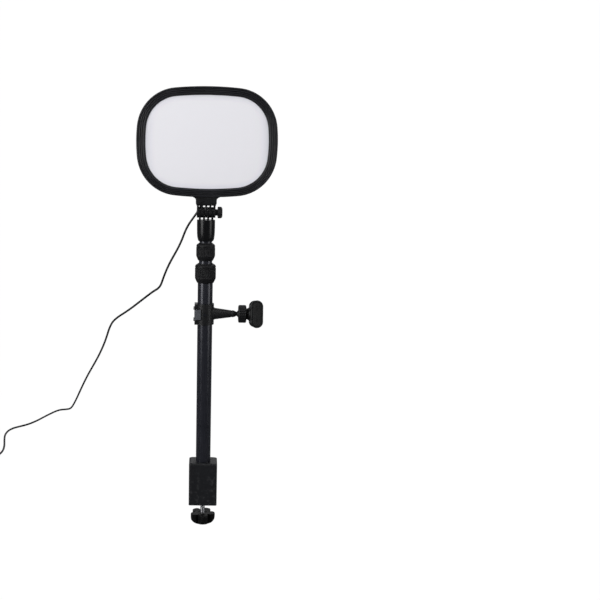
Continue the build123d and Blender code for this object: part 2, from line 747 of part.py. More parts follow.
def usb_cord():
    radii = corner_radii(cord_route)
    path = FilletPolyline(*cord_route, radius=radii)
    start = Plane(origin=path @ 0, z_dir=path % 0)
    tube = sweep(start * Circle(cord_diameter / 2), path=path)
    print("cord radii", [round(r) for r in radii])
    print("cord length", round(path.length, 1), "volume over section times length",
          round(tube.volume / (path.length * pi * cord_diameter**2 / 4), 4))
    return tube


def coil_centre():
    """The route ends heading along -Y on the coil's right side."""
    x, y, _ = cord_route[-1]
    return x - coil_mean_radius, y


def cord_coil():
    """The put-away turns as one round, and the short tail that runs from them to the plug's nose."""
    x, y = coil_centre()
    section = Pos(coil_mean_radius, coil_height / 2) * RectangleRounded(coil_width, coil_height, 3.0)
    tail_x, tail_end = plug_start()
    tail_length = tail_end + 2 - y
    tail = along_y(Cylinder(cord_diameter / 2, tail_length), tail_x, y + tail_length / 2, plug_height / 2)
    return Pos(x, y, 0) * revolve(Plane.XZ * section, Axis.Z) + tail


def plug_start():
    """The cord leaves the coil's left side along +Y, and the plug's nose begins there."""
    x, y = coil_centre()
    return x - coil_mean_radius, y + plug_nose_start


def plug_body():
    x, y = plug_start()
    z = plug_height / 2
    start = y + plug_nose_length
    body = slab((x - plug_width / 2, x + plug_width / 2), (start, start + plug_length), (0, plug_height))
    body = fillet(body.edges().filter_by(Axis.Y), 2.2)
    nose = Cone(cord_diameter / 2 + 0.5, cord_diameter / 2 + 1.6, plug_nose_length + 1)
    return body + along_y(nose, x, y + (plug_nose_length + 1) / 2, z)


def plug_shell():
    x, y = plug_start()
    start = y + plug_nose_length + plug_length
    end = start + plug_shell_length
    z, wall = plug_height / 2, plug_shell_wall
    half_w, half_h = plug_shell_width / 2, plug_shell_height / 2
    shell = slab((x - half_w, x + half_w), (start, end), (z - half_h, z + half_h))
    shell -= slab((x - half_w + wall, x + half_w - wall), (start + 6, end + 1), (z - half_h + wall, z + half_h - wall))
    shell += slab((x - half_w + 2 * wall, x + half_w - 2 * wall), (start + 5, end - 0.6), (z + 0.2, z + half_h - 0.6))
    return shell


# ---------------------------------------------------------------- phone holder
def ring_liner():
    sleeve = ring(outer_tube_radius + running_gap + liner_wall, outer_tube_radius + running_gap,
                  ring_bottom_z, ring_bottom_z + ring_height)
    return on_pole(sleeve)


def holder_ring():
    """The clamp ring, its latch block with two ears on the left, and the boss for the arm."""
    top = ring_bottom_z + ring_height
    middle_z = (ring_bottom_z + top) / 2
    body = Pos(0, 0, middle_z) * Cylinder(ring_radius, ring_height)
    block = slab((-latch_block_x, -ring_radius / 2), (-latch_block_half, latch_block_half), (ring_bottom_z, top))
    body += fillet(block.edges().filter_by(Axis.Z), 1.5)
    ear_gap = latch_plate_height / 2 + free_gap
    for z in (arm_z - ear_gap - ear_thickness / 2, arm_z + ear_gap + ear_thickness / 2):
        body += slab((-ear_reach, -ring_radius / 2), (latch_pin_y - 2.2, latch_block_half + 1),
                     (z - ear_thickness / 2, z + ear_thickness / 2))
    body += along_x(Cylinder(arm_root_radius + 0.6, 6), arm_root_x - 3, 0, arm_z)
    body -= Pos(0, 0, middle_z) * Cylinder(ring_bore, ring_height + 2)
    body -= slab((-2 * ear_reach, -ring_bore + 4), (-1, 1), (ring_bottom_z - 1, top + 1))
    recess = extrude(SlotOverall(ring_recess_height, ring_recess_width, rotation=90), 2 * ring_recess_depth)
    body -= along_y(recess, 0, -ring_radius - ring_recess_depth, arm_z)
    return on_pole(body - latch_pin_cylinder(latch_pin_radius + running_gap, 2 * ring_height))


def latch_pin_cylinder(radius, length):
    return Pos(latch_pin_x, latch_pin_y, arm_z) * Cylinder(radius, length)


def latch_pin():
    return on_pole(latch_pin_cylinder(latch_pin_radius, latch_plate_height + 2 * (free_gap + ear_thickness)))


def latch_lever():
    """A plate that lies against the ring's front, on a barrel round the pin."""
    half_z = latch_plate_height / 2
    back = -ring_radius + 1.4
    front = back - latch_plate_thickness
    plate = slab((latch_pin_x, latch_pin_x + latch_plate_width), (front, back), (arm_z - half_z, arm_z + half_z))
    barrel = latch_pin_cylinder(latch_barrel_radius, latch_plate_height)
    root = slab((latch_pin_x - latch_barrel_radius + 0.6, latch_pin_x + latch_barrel_radius - 0.6),
                (front, latch_pin_y), (arm_z - half_z, arm_z + half_z))
    return on_pole(plate + barrel + root - latch_pin_cylinder(latch_pin_radius + running_gap, 2 * ring_height))


def ring_screw():
    """The socket screw at the bottom of the upright recess in the ring's front."""
    head = along_y(Cylinder(ring_screw_radius, 0.5), 0, -ring_radius + 0.55, arm_z)
    return on_pole(head - along_y(extrude(RegularPolygon(1.2, 6), 2), 0, -ring_radius, arm_z))


def holder_arm():
    """The cone that carries the ball."""
    arm = turned([(0, arm_root_x), (arm_root_radius, arm_root_x), (arm_tip_radius, arm_tip_x),
                  (arm_neck_radius, arm_tip_x + 2), (arm_neck_radius, ball_x), (0, ball_x)])
    arm += Pos(0, 0, ball_x) * Sphere(ball_radius)
    return along_x(arm, 0, pole_y, arm_z)


def ball_socket():
    """The cup behind the ball, threaded for the nut, and the flare that carries the clip."""
    cup = turned([(0, ball_x + 1), (socket_radius, ball_x + 1), (socket_radius, nut_end_x + 0.3),
                  (9.0, nut_end_x + 0.3), (12.5, flare_end_x), (0, flare_end_x)])
    cup -= Pos(0, 0, ball_x) * Sphere(ball_radius + running_gap)
    return along_x(cup, 0, pole_y, arm_z)


def ball_nut():
    """The knurled nut whose mouth holds the ball in the cup."""
    lip = 2.6
    nut = turned([(nut_mouth_radius, nut_start_x), (nut_radius - 1, nut_start_x), (nut_radius, nut_start_x + 1),
                  (nut_radius, nut_end_x - 1), (nut_radius - 1, nut_end_x), (socket_radius + running_gap, nut_end_x),
                  (socket_radius + running_gap, nut_start_x + lip), (nut_mouth_radius + 0.4, nut_start_x + lip)])
    nut -= Pos(0, 0, ball_x) * Sphere(ball_radius + running_gap)
    nut -= [Rot(0, 0, 360 / nut_knurls * i) * Pos(nut_radius + 0.5, 0, (nut_start_x + nut_end_x) / 2)
            * Cylinder(1.1, nut_end_x - nut_start_x + 1) for i in range(nut_knurls)]
    return along_x(nut, 0, pole_y, arm_z)


def on_clip(shape):
    """Places a piece drawn about the ball's axis, pitched as the clip stands."""
    return Pos(0, pole_y, arm_z) * Rot(-clip_pitch, 0, 0) * shape


def jaw(front_y, thickness):
    """A stadium-shaped jaw whose flat faces look along Y."""
    x = clip_plate_x + clip_jaw_reach / 2
    shape = along_y(extrude(SlotOverall(clip_jaw_height, clip_jaw_reach, rotation=90), thickness), x, front_y, 0)
    return fillet(shape.edges().group_by(Axis.Y)[0] + shape.edges().group_by(Axis.Y)[-1], jaw_rounding)


def clip_body():
    """The plate on the socket, the box that holds the springs, and the fixed front jaw."""
    x0, x1 = clip_plate_x, clip_plate_x + clip_plate_thickness
    back = clip_gap / 2 - 4
    box = slab((x0, x1), (clip_front_y + 3, back), (-clip_box_half, clip_box_half))
    box -= slab((x0 + clip_box_wall, x1 - clip_box_wall), (spring_start_y, back + 1),
                (-tongue_half_height, tongue_half_height))
    return on_clip(box + jaw(clip_front_y, clip_jaw_thickness))


def clip_pad(y):
    x = clip_plate_x + clip_plate_thickness + 0.4
    pad = slab((x, clip_plate_x + clip_jaw_reach - 1.5), (y, y + clip_pad_thickness),
               (-clip_pad_half, clip_pad_half))
    return on_clip(fillet(pad.edges().filter_by(Axis.Y), 2.5))


def clip_slide_jaw():
    """The rear jaw and its tongue, which draws out of the body."""
    wall = clip_box_wall + running_gap
    x0, x1 = clip_plate_x + wall, clip_plate_x + clip_plate_thickness - wall
    y = clip_gap / 2
    half = tongue_half_height - running_gap
    tongue = slab((x0, x1), (tongue_start_y, y + 1), (-half, half))
    for z in (-spring_z, spring_z):
        tongue -= along_y(Cylinder(spring_radius + 0.1, 200), (x0 + x1) / 2, 0, z)
    return on_clip(tongue + jaw(y, clip_jaw_thickness))


def clip_springs():
    """Two tension springs that draw the rear jaw towards the front one, as plain sleeves."""
    x = clip_plate_x + clip_plate_thickness / 2
    end = tongue_start_y + 0.1
    length = end - spring_start_y
    return on_clip(Compound(children=[
        along_y(Cylinder(spring_radius, length), x, end - length / 2, z) for z in (-spring_z, spring_z)]))


nodes = {
    "clamp_frame": clamp_frame(),
    "jaw_pad": jaw_pad(),
    "threaded_bush": threaded_bush(),
    "pole_end_plug": pole_end_plug(),
    "pole_fixing_bolt": pole_fixing_bolt(),
    "clamp_screw": clamp_screw(),
    "star_knob": star_knob(),
    "foot_cap": foot_cap(),
    "foot_pad": foot_pad(),
    "pole_outer_tube": outer_tube(),
    "pole_mid_tube": mid_tube(),
    "pole_inner_tube": inner_tube(),
    "mid_tube_foot": slide_foot(mid_tube_top_z - mid_tube_length, mid_bore, outer_bore, 4.0),
    "inner_tube_foot": slide_foot(inner_tube_top_z - inner_tube_length, inner_bore, mid_bore, 4.0),
    "lower_lock_sleeve": lock_sleeve(outer_tube_top_z, outer_tube_radius, mid_tube_radius, lower_sleeve_radius,
                                     lower_collar_bottom_z + 2.5, lower_collet_z),
    "upper_lock_sleeve": lock_sleeve(mid_tube_top_z, mid_tube_radius, inner_tube_radius, upper_sleeve_radius,
                                     upper_collar_bottom_z + 2.5, upper_collet_z),
    "lower_collet": collet(mid_tube_radius, lower_collet_z, lower_collet_radius),
    "upper_collet": collet(inner_tube_radius, upper_collet_z, upper_collet_radius),
    "lower_collar": collar(lower_collar_bottom_z, lower_collar_height, lower_collar_radius,
                           mid_tube_radius, lower_sleeve_radius, lower_collet_z, lower_collet_radius),
    "upper_collar": collar(upper_collar_bottom_z, upper_collar_height, upper_collar_radius,
                           inner_tube_radius, upper_sleeve_radius, upper_collet_z, upper_collet_radius),
    "stud_plug": stud_plug(),
    "adapter_insert": adapter_insert(),
    "hinge_adapter": hinge_adapter(),
    "neck_bracket": neck_bracket(),
    "neck_screws": neck_screws(),
    "hinge_lock_nut": hinge_lock_nut(),
    "hinge_bolt": hinge_bolt(),
    "hinge_knob": hinge_knob(),
    "front_bezel": front_bezel(),
    "diffuser_panel": light_stack(diffuser_lap, diffuser_y, diffuser_thickness),
    "light_guide_plate": light_stack(diffuser_lap - 1, guide_y, guide_thickness),
    "reflector_sheet": light_stack(diffuser_lap - 1, reflector_y, reflector_thickness),
    "backing_plate": light_stack(diffuser_lap, backing_y, backing_thickness),
    "led_strips": led_strips(),
    "driver_board": driver_board(),
    "back_cover": back_cover(),
    "cover_screws": cover_screws(),
    "cable_gland": cable_gland(),
    "usb_cord": usb_cord(),
    "cord_coil": cord_coil(),
    "usb_plug_body": plug_body(),
    "usb_plug_shell": plug_shell(),
    "ring_liner": ring_liner(),
    "holder_ring": holder_ring(),
    "latch_pin": latch_pin(),
    "latch_lever": latch_lever(),
    "ring_screw": ring_screw(),
    "holder_arm": holder_arm(),
    "ball_socket": ball_socket(),
    "ball_nut": ball_nut(),
    "clip_body": clip_body(),
    "clip_front_pad": clip_pad(-clip_gap / 2),
    "clip_slide_jaw": clip_slide_jaw(),
    "clip_rear_pad": clip_pad(clip_gap / 2 - clip_pad_thickness),
    "clip_springs": clip_springs(),
}
for i, name in enumerate(("dimmer_button", "power_button", "brighter_button")):
    nodes[name] = push_button(i - 1)

os.makedirs("parts", exist_ok=True)
for name, shape in nodes.items():
    export_step(shape, f"parts/{name}.step")
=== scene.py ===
"""Looks of the desk-clamp LED panel light, in metres, in the CAD model's own frame.

+Z is up, the desk's top is z = 0, the lamp looks along -Y and the pole stands in front of the desk.
Every surface is a grid worked out from two parameters, or a profile carried round an outline or an axis.
"""
import json
from math import cos, pi, radians, sin

import bpy
import numpy as np
from mathutils import Matrix, Vector


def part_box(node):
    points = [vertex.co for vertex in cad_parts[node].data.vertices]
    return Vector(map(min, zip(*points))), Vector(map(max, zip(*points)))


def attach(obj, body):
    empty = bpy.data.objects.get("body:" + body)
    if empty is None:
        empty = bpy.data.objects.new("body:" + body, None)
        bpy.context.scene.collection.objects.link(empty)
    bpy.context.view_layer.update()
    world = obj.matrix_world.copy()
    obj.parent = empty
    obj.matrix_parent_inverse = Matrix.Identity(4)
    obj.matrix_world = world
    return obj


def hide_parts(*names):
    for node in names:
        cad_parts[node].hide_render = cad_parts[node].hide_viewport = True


MM = 0.001
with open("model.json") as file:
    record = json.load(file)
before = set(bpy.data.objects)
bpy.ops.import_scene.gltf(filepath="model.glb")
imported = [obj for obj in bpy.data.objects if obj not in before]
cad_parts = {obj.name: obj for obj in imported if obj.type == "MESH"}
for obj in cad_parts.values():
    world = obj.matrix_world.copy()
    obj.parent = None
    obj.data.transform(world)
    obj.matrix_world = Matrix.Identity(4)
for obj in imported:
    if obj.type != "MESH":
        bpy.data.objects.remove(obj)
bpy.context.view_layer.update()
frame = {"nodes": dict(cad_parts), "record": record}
scene = bpy.context.scene


# ---------------------------------------------------------------- places taken from the frame
def middle(node):
    low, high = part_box(node)
    return (low + high) / 2


def span(node, axis):
    low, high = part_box(node)
    return low[axis], high[axis]


pole = middle("pole_outer_tube")
pole_x, pole_y = pole.x, pole.y
head = middle("front_bezel")
tilt_z = middle("hinge_bolt").z
arm_z = middle("holder_arm").z


# ---------------------------------------------------------------- camera
def make_camera():
    """A long lens one and a half metres in front of the pole, level with the lamp and looking down."""
    distance, focal, down, roll, aside = 1.527, 55.68, radians(9.7), radians(-0.7046), 0.1582
    camera = bpy.data.cameras.new("camera")
    camera.lens, camera.sensor_width, camera.shift_x = focal, 36.0, aside
    camera.clip_start, camera.clip_end = 0.05, 30.0
    forward = Vector((0, cos(down), -sin(down)))
    right = Vector((1, 0, 0))
    up = right.cross(forward)
    turned_right = right * cos(roll) - up * sin(roll)
    turned_up = right * sin(roll) + up * cos(roll)
    piece = bpy.data.objects.new("camera", camera)
    scene.collection.objects.link(piece)
    basis = Matrix((turned_right, turned_up, -forward)).transposed()
    piece.matrix_world = Matrix.Translation((pole_x, pole_y - distance, 0.565)) @ basis.to_4x4()
    scene.camera = piece


make_camera()


# ---------------------------------------------------------------- shader maths
class Wire:
    """A shader socket that takes part in Python sums: each operator adds one Math node."""

    def __init__(self, finish, socket):
        self.finish, self.socket = finish, socket

    def maths(self, operation, *values):
        return self.finish.node("ShaderNodeMath", {"operation": operation}, dict(enumerate(values)))

    def __add__(self, other):
        return self.maths("ADD", self, other)

    def __sub__(self, other):
        return self.maths("SUBTRACT", self, other)

    def __mul__(self, other):
        return self.maths("MULTIPLY", self, other)

    def __pow__(self, other):
        return self.maths("POWER", self, other)


class Finish:
    """A material: its node tree, its Principled shader and short names for the patterns it is made of."""

    def __init__(self, name, **constants):
        self.material = bpy.data.materials.new(name)
        self.material.use_nodes = True
        self.tree = self.material.node_tree
        self.shader = self.tree.nodes["Principled BSDF"]
        for socket, value in constants.items():
            self.shader.inputs[socket.replace("_", " ")].default_value = value

    def node(self, kind, settings=None, inputs=None, output=0):
        """Adds a node: its settings first, then values or wires on its sockets. Gives its output as a wire."""
        made = self.tree.nodes.new(kind)
        for name, value in (settings or {}).items():
            if name == "stops":
                ramp = made.color_ramp
                while len(ramp.elements) < len(value):
                    ramp.elements.new(1.0)
                for element, (place, colour) in zip(ramp.elements, value):
                    element.position, element.color = place, colour
            else:
                setattr(made, name, value)
        for socket, value in (inputs or {}).items():
            if isinstance(value, Wire):
                self.tree.links.new(value.socket, made.inputs[socket])
            else:
                made.inputs[socket].default_value = value
        return Wire(self, made.outputs[output])

    def drive(self, socket, wire):
        self.tree.links.new(wire.socket, self.shader.inputs[socket])

    def place(self, stretch=(1, 1, 1), turn=(0, 0, 0)):
        """Object coordinates, stretched so that a pattern runs along an axis."""
        here = self.node("ShaderNodeTexCoord", output="Object")
        return self.node("ShaderNodeMapping", inputs={"Vector": here, "Scale": stretch, "Rotation": turn})

    def noise(self, scale, detail=3.0, stretch=(1, 1, 1), rough=0.55):
        return self.node("ShaderNodeTexNoise", inputs={
            "Vector": self.place(stretch), "Scale": scale, "Detail": detail, "Roughness": rough})

    def cells(self, scale, stretch=(1, 1, 1)):
        return self.node("ShaderNodeTexVoronoi", {"feature": "F1"}, {
            "Vector": self.place(stretch), "Scale": scale})

    def between(self, wire, low, high, low_out, high_out):
        return self.node("ShaderNodeMapRange", {"interpolation_type": "SMOOTHSTEP"}, {
            "Value": wire, "From Min": low, "From Max": high, "To Min": low_out, "To Max": high_out})

    def blend(self, factor, first, second):
        return self.node("ShaderNodeMix", {"data_type": "RGBA"}, {
            "Factor": factor, 6: (*first, 1) if isinstance(first, tuple) else first,
            7: (*second, 1) if isinstance(second, tuple) else second}, output=2)

    def bump(self, height, strength, distance):
        self.drive("Normal", self.node("ShaderNodeBump", inputs={
            "Height": height, "Strength": strength, "Distance": distance}))


def sharp_outward_edges(f, low, high):
    """Where the surface bends sharply outwards, from 0 to 1."""
    return f.between(f.node("ShaderNodeNewGeometry", output="Pointiness"), low, high, 0.0, 1.0)


# ---------------------------------------------------------------- materials
def moulded_black(name, colour, rough, grain, depth, sheen=0.42):
    """Spark-eroded ABS: fine pits, slow cloudiness in the gloss and a little dust in the colour."""
    f = Finish(name, Specular_IOR_Level=sheen)
    cloud = f.noise(26.0, 4.0)
    pits = f.noise(grain, 2.0, rough=0.7)
    lighter = tuple(c * 1.7 + 0.003 for c in colour)
    f.drive("Base Color", f.blend(f.between(cloud, 0.35, 0.75, 0.0, 0.55), colour, lighter))
    f.drive("Roughness", f.between(cloud, 0.3, 0.7, rough - 0.05, rough + 0.06) + pits * 0.05)
    f.bump(pits, 0.35, depth)
    return f.material


def anodised():
    """Black anodised tube: drawing lines along the tube, and a faint blue cast."""
    f = Finish("black_anodised", Metallic=0.35, Specular_IOR_Level=0.6)
    lines = f.noise(900.0, 3.0, stretch=(1, 1, 0.012))
    cloud = f.noise(30.0, 3.0)
    f.drive("Base Color", f.blend(
        f.between(cloud, 0.3, 0.7, 0.0, 1.0), (0.0165, 0.0175, 0.0250), (0.0250, 0.0260, 0.0350)))
    f.drive("Roughness", f.between(lines, 0.3, 0.7, 0.22, 0.31) + (cloud - 0.5) * 0.06)
    f.bump(lines, 0.12, 0.00003)
    return f.material


def powder_coat():
    """Fine orange-peel powder coat on the clamp, lighter grey in patches along its sharp outward edges."""
    f = Finish("powder_coat", Specular_IOR_Level=0.4)
    peel = f.noise(1500.0, 3.0, rough=0.6)
    cloud = f.noise(18.0, 3.0)
    # Lighter grey in noisy patches where the surface bends sharply outwards.
    lighter_edge_patches = sharp_outward_edges(f, 0.53, 0.60) * f.between(f.noise(160.0, 4.0), 0.5, 0.7, 0.0, 0.5)
    body = f.blend(f.between(cloud, 0.3, 0.75, 0.0, 1.0), (0.0058, 0.0061, 0.0080), (0.0078, 0.0082, 0.0105))
    f.drive("Base Color", f.blend(lighter_edge_patches, body, (0.06, 0.06, 0.062)))
    f.drive("Roughness", f.between(peel, 0.3, 0.7, 0.46, 0.60))
    f.bump(peel, 0.45, 0.00006)
    return f.material


def gloss_moulding():
    """Polished black plastic with a trace of flow in its gloss."""
    f = Finish("gloss_black", Specular_IOR_Level=0.27)
    flow = f.noise(60.0, 3.0, stretch=(1, 1, 0.3))
    f.drive("Base Color", f.blend(
        f.between(flow, 0.3, 0.7, 0.0, 1.0), (0.0028, 0.0028, 0.0034), (0.0048, 0.0048, 0.0054)))
    f.drive("Roughness", f.between(flow, 0.3, 0.7, 0.24, 0.31))
    f.bump(f.noise(420.0, 2.0), 0.05, 0.00002)
    return f.material


def opal():
    """Unlit opal acrylic, cool white, with a painted glow (its own emission, though it is no lamp) and painted
    shade that makes it a shade darker towards its edge where it meets the bezel.
    """
    half_width, half_height = 0.1035, 0.079
    f = Finish("opal_acrylic_with_painted_glow", Specular_IOR_Level=0.35, Roughness=0.42)
    here = f.node("ShaderNodeTexCoord", output="Object")
    centred = f.node("ShaderNodeMapping", inputs={
        "Vector": here, "Location": (0, 0, -head.z / half_height),
        "Scale": (1 / half_width, 0, 1 / half_height)})
    parts = f.node("ShaderNodeSeparateXYZ", inputs={"Vector": centred})
    across = Wire(f, parts.socket.node.outputs["X"])
    up = Wire(f, parts.socket.node.outputs["Z"])
    edge = (across * across) ** 2 + (up * up) ** 2
    # Painted shade: colour and glow both darken towards the edge, where the bezel shades the sheet.
    shade = f.between(edge, 0.35, 1.0, 0.0, 1.0)
    grain = f.noise(900.0, 2.0)
    f.drive("Base Color", f.blend(shade, (0.815, 0.805, 0.84), (0.68, 0.68, 0.72)))
    # Painted glow: the sheet is no lamp, yet this emission makes it shine.
    f.drive("Emission Color", f.blend(shade, (0.82, 0.81, 0.84), (0.56, 0.57, 0.61)))
    f.shader.inputs["Emission Strength"].default_value = 0.24
    f.bump(grain, 0.1, 0.00002)
    return f.material


def rubber(name, colour, rough):
    """Matt rubber with a dusty bloom."""
    f = Finish(name, Specular_IOR_Level=0.3)
    bloom = f.noise(120.0, 4.0)
    grain = f.noise(2600.0, 2.0)
    dusty = tuple(c * 2 + 0.004 for c in colour)
    f.drive("Base Color", f.blend(f.between(bloom, 0.4, 0.8, 0.0, 0.7), colour, dusty))
    f.drive("Roughness", f.between(bloom, 0.3, 0.7, rough - 0.06, rough + 0.06))
    f.bump(grain, 0.4, 0.00005)
    return f.material


def metal(name, colour, rough, stretch):
    """Turned or brushed metal: lines along one direction."""
    f = Finish(name, Metallic=1.0)
    lines = f.noise(1400.0, 3.0, stretch=stretch)
    cloud = f.noise(70.0, 3.0)
    darker = tuple(c * 0.72 for c in colour)
    f.drive("Base Color", f.blend(f.between(cloud, 0.3, 0.7, 0.0, 1.0), darker, colour))
    f.drive("Roughness", f.between(lines, 0.3, 0.7, rough - 0.07, rough + 0.08))
    f.bump(lines, 0.2, 0.00003)
    return f.material


def plain_moulding(name, colour, rough):
    """Light plastic with faint flow marks."""
    f = Finish(name, Specular_IOR_Level=0.45)
    flow = f.noise(80.0, 4.0)
    darker = tuple(c * 0.9 for c in colour)
    f.drive("Base Color", f.blend(f.between(flow, 0.3, 0.7, 0.0, 1.0), darker, colour))
    f.drive("Roughness", f.between(flow, 0.3, 0.7, rough - 0.05, rough + 0.05))
    f.bump(f.noise(1800.0, 2.0), 0.2, 0.00003)
    return f.material


def board_green():
    """Solder mask with tracks showing through it."""
    f = Finish("board_green", Specular_IOR_Level=0.5)
    tracks = f.between(f.cells(260.0, (1, 0.1, 1)), 0.32, 0.36, 0.0, 1.0)
    f.drive("Base Color", f.blend(tracks, (0.010, 0.085, 0.030), (0.020, 0.150, 0.055)))
    f.drive("Roughness", f.between(tracks, 0.0, 1.0, 0.28, 0.38))
    f.bump(tracks, 0.4, 0.00003)
    return f.material


def clear_acrylic():
    """Light guide: clear sheet with rows of frosted dots."""
    f = Finish("clear_acrylic", Alpha=0.45, IOR=1.49)
    dots = f.between(f.cells(380.0, (1, 0.1, 1)), 0.12, 0.18, 1.0, 0.0)
    f.drive("Base Color", f.blend(dots, (0.80, 0.84, 0.85), (0.95, 0.95, 0.95)))
    f.drive("Roughness", f.between(dots, 0.0, 1.0, 0.06, 0.5))
    return f.material


FINISHES = {
    "black_plastic": moulded_black("black_plastic", (0.0080, 0.0080, 0.0088), 0.38, 1700.0, 0.00005, 0.36),
    "soft_black": moulded_black("soft_black", (0.0050, 0.0050, 0.0058), 0.52, 2200.0, 0.00003, 0.26),
    "bezel_black": moulded_black("bezel_black", (0.0100, 0.0102, 0.0125), 0.33, 1300.0, 0.00004),
    "clip_black": moulded_black("clip_black", (0.0068, 0.0074, 0.0070), 0.28, 1300.0, 0.00004, 0.36),
    "knob_black": moulded_black("knob_black", (0.0042, 0.0042, 0.0044), 0.50, 1700.0, 0.00005, 0.16),
    "cord_black": moulded_black("cord_black", (0.0075, 0.0075, 0.0080), 0.46, 2400.0, 0.00004),
    "gloss_black": gloss_moulding(),
    "black_anodised": anodised(),
    "clamp_black": powder_coat(),
    "opal": opal(),
    "clear_acrylic": clear_acrylic(),
    "white_film": plain_moulding("white_film", (0.86, 0.86, 0.85), 0.6),
    "bare_aluminium": metal("bare_aluminium", (0.78, 0.79, 0.80), 0.34, (1, 1, 0.02)),
    "steel": metal("steel", (0.52, 0.52, 0.53), 0.28, (1, 1, 0.05)),
    "brass": metal("brass", (0.72, 0.53, 0.26), 0.30, (0.05, 0.05, 1)),
    "black_rubber": rubber("black_rubber", (0.010, 0.010, 0.010), 0.68),
    "grey_plastic": plain_moulding("grey_plastic", (0.10, 0.105, 0.115), 0.42),
    "board_green": board_green(),
    "strip_white": plain_moulding("strip_white", (0.80, 0.79, 0.72), 0.5),
    "nylon": plain_moulding("nylon", (0.62, 0.62, 0.59), 0.45),
}


# ---------------------------------------------------------------- surfaces
def dress(piece, slot):
    """Gives a piece the one material of its slot."""
    piece.data.materials.clear()
    piece.data.materials.append(FINISHES[slot])


def volume_of(points, faces):
    """Signed volume: the sum over triangles of a . (b x c) / 6, positive where faces point outwards."""
    total = 0.0
    for face in faces:
        for k in range(1, face.shape[1] - 1):
            a, b, c = points[face[:, 0]], points[face[:, k]], points[face[:, k + 1]]
            total += float(np.einsum("ij,ij->i", a, np.cross(b, c)).sum())
    return total / 6


def add_piece(name, body, slot, parts, replaces=(), crease=38):
    """Makes one object from (points, list of face arrays) parts, with outward faces, on a CAD body."""
    points, faces, start = [], [], 0
    for part_points, part_faces in parts:
        if volume_of(part_points - part_points.mean(0), part_faces) < 0:
            part_faces = [f[:, ::-1] for f in part_faces]
        points.append(part_points)
        faces += [f + start for f in part_faces]
        start += len(part_points)
    mesh = bpy.data.meshes.new(name)
    mesh.from_pydata(np.concatenate(points).tolist(), [], [f for block in faces for f in block.tolist()])
    mesh.shade_smooth()
    mesh.set_sharp_from_angle(angle=radians(crease))
    piece = bpy.data.objects.new(name, mesh)
    scene.collection.objects.link(piece)
    dress(piece, slot)
    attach(piece, body)
    if replaces:
        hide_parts(*replaces)
    return piece


def grid_faces(rows, columns, wrap_rows):
    """Quads between neighbouring rows of a grid whose columns close on themselves."""
    r = np.arange(rows if wrap_rows else rows - 1)[:, None]
    c = np.arange(columns)[None, :]
    r2, c2 = (r + 1) % rows, (c + 1) % columns
    return np.stack([r * columns + c, r * columns + c2, r2 * columns + c2, r2 * columns + c], -1).reshape(-1, 4)


def rings_to_part(rings, closed):
    """rings is (rows, columns, 3). Joins the last row to the first, or caps both ends with fans."""
    rows, columns, _ = rings.shape
    points = rings.reshape(-1, 3)
    faces = [grid_faces(rows, columns, closed)]
    if not closed:
        c = np.arange(columns)
        ends = np.stack([rings[0].mean(0), rings[-1].mean(0)])
        base = len(points)
        points = np.concatenate([points, ends])
        faces.append(np.stack([(c + 1) % columns, c, np.full(columns, base)], -1))
        last = (rows - 1) * columns
        faces.append(np.stack([last + c, last + (c + 1) % columns, np.full(columns, base + 1)], -1))
    return points, faces


def rounded(corners, closed=False, steps=5):
    """A polyline of (a, b, radius) corners, each rounded by a quadratic curve that starts radius before it."""
    corners = np.array(corners, float)
    count, line = len(corners), []
    for i in range(count):
        here, radius = corners[i, :2], corners[i, 2]
        if not closed and i in (0, count - 1) or radius <= 0:
            line.append(here)
            continue
        before, after = corners[i - 1, :2] - here, corners[(i + 1) % count, :2] - here
        reach = min(radius, 0.48 * np.hypot(*before), 0.48 * np.hypot(*after))
        first, last = here + before / np.hypot(*before) * reach, here + after / np.hypot(*after) * reach
        t = np.linspace(0, 1, steps + 1)[:, None]
        line.extend((1 - t) ** 2 * first + 2 * t * (1 - t) * here + t * t * last)
    return np.array(line)


def turned(profile, segments=96, closed=False, shape=None, axis="Z", at=(0, 0, 0)):
    """Carries a (radius, height) profile round an axis; shape(radius, height, angle) may change the radius."""
    angle = np.linspace(0, 2 * pi, segments, endpoint=False)[None, :]
    radius, height = profile[:, :1] + 0 * angle, profile[:, 1:2] + 0 * angle
    if shape is not None:
        radius = shape(radius, height, angle + 0 * radius)
    a, b = radius * np.cos(angle), radius * np.sin(angle)
    rings = {"Z": (a, b, height), "X": (height, a, b), "Y": (b, height, a)}[axis]
    return rings_to_part(np.stack(rings, -1) + np.array(at), closed)


def inset_outline(outline, inset):
    """Moves a closed 2-D outline inwards by inset along its own normals."""
    tangent = np.roll(outline, -1, 0) - np.roll(outline, 1, 0)
    tangent /= np.hypot(*tangent.T)[:, None]
    return outline + inset * np.stack([-tangent[:, 1], tangent[:, 0]], -1)


def stacked(outline, profile, axis, at=(0, 0, 0)):
    """Layers of one outline: each (inset, depth) of the profile is a ring at that depth along the axis."""
    rings = []
    for inset, depth in profile:
        flat = inset_outline(outline, inset)
        a, b, d = flat[:, 0], flat[:, 1], np.full(len(flat), depth)
        rings.append(np.stack({"X": (d, a, b), "Y": (a, d, b), "Z": (a, b, d)}[axis], -1))
    return rings_to_part(np.array(rings) + np.array(at), False)


def rounded_box_outline(width, height, radius, steps=8):
    """A rectangle with round corners, anticlockwise."""
    turns = (np.arange(4)[:, None] * pi / 2 + np.linspace(0, pi / 2, steps)[None, :])
    sx, sy = np.array([1, -1, -1, 1])[:, None], np.array([1, 1, -1, -1])[:, None]
    x = sx * (width / 2 - radius) + radius * np.cos(turns)
    y = sy * (height / 2 - radius) + radius * np.sin(turns)
    return np.stack([x.ravel(), y.ravel()], -1)


def smooth(value, low, high):
    """Rises from 0 at low to 1 at high by 3 t^2 - 2 t^3."""
    t = np.clip((value - low) / (high - low), 0, 1)
    return t * t * (3 - 2 * t)


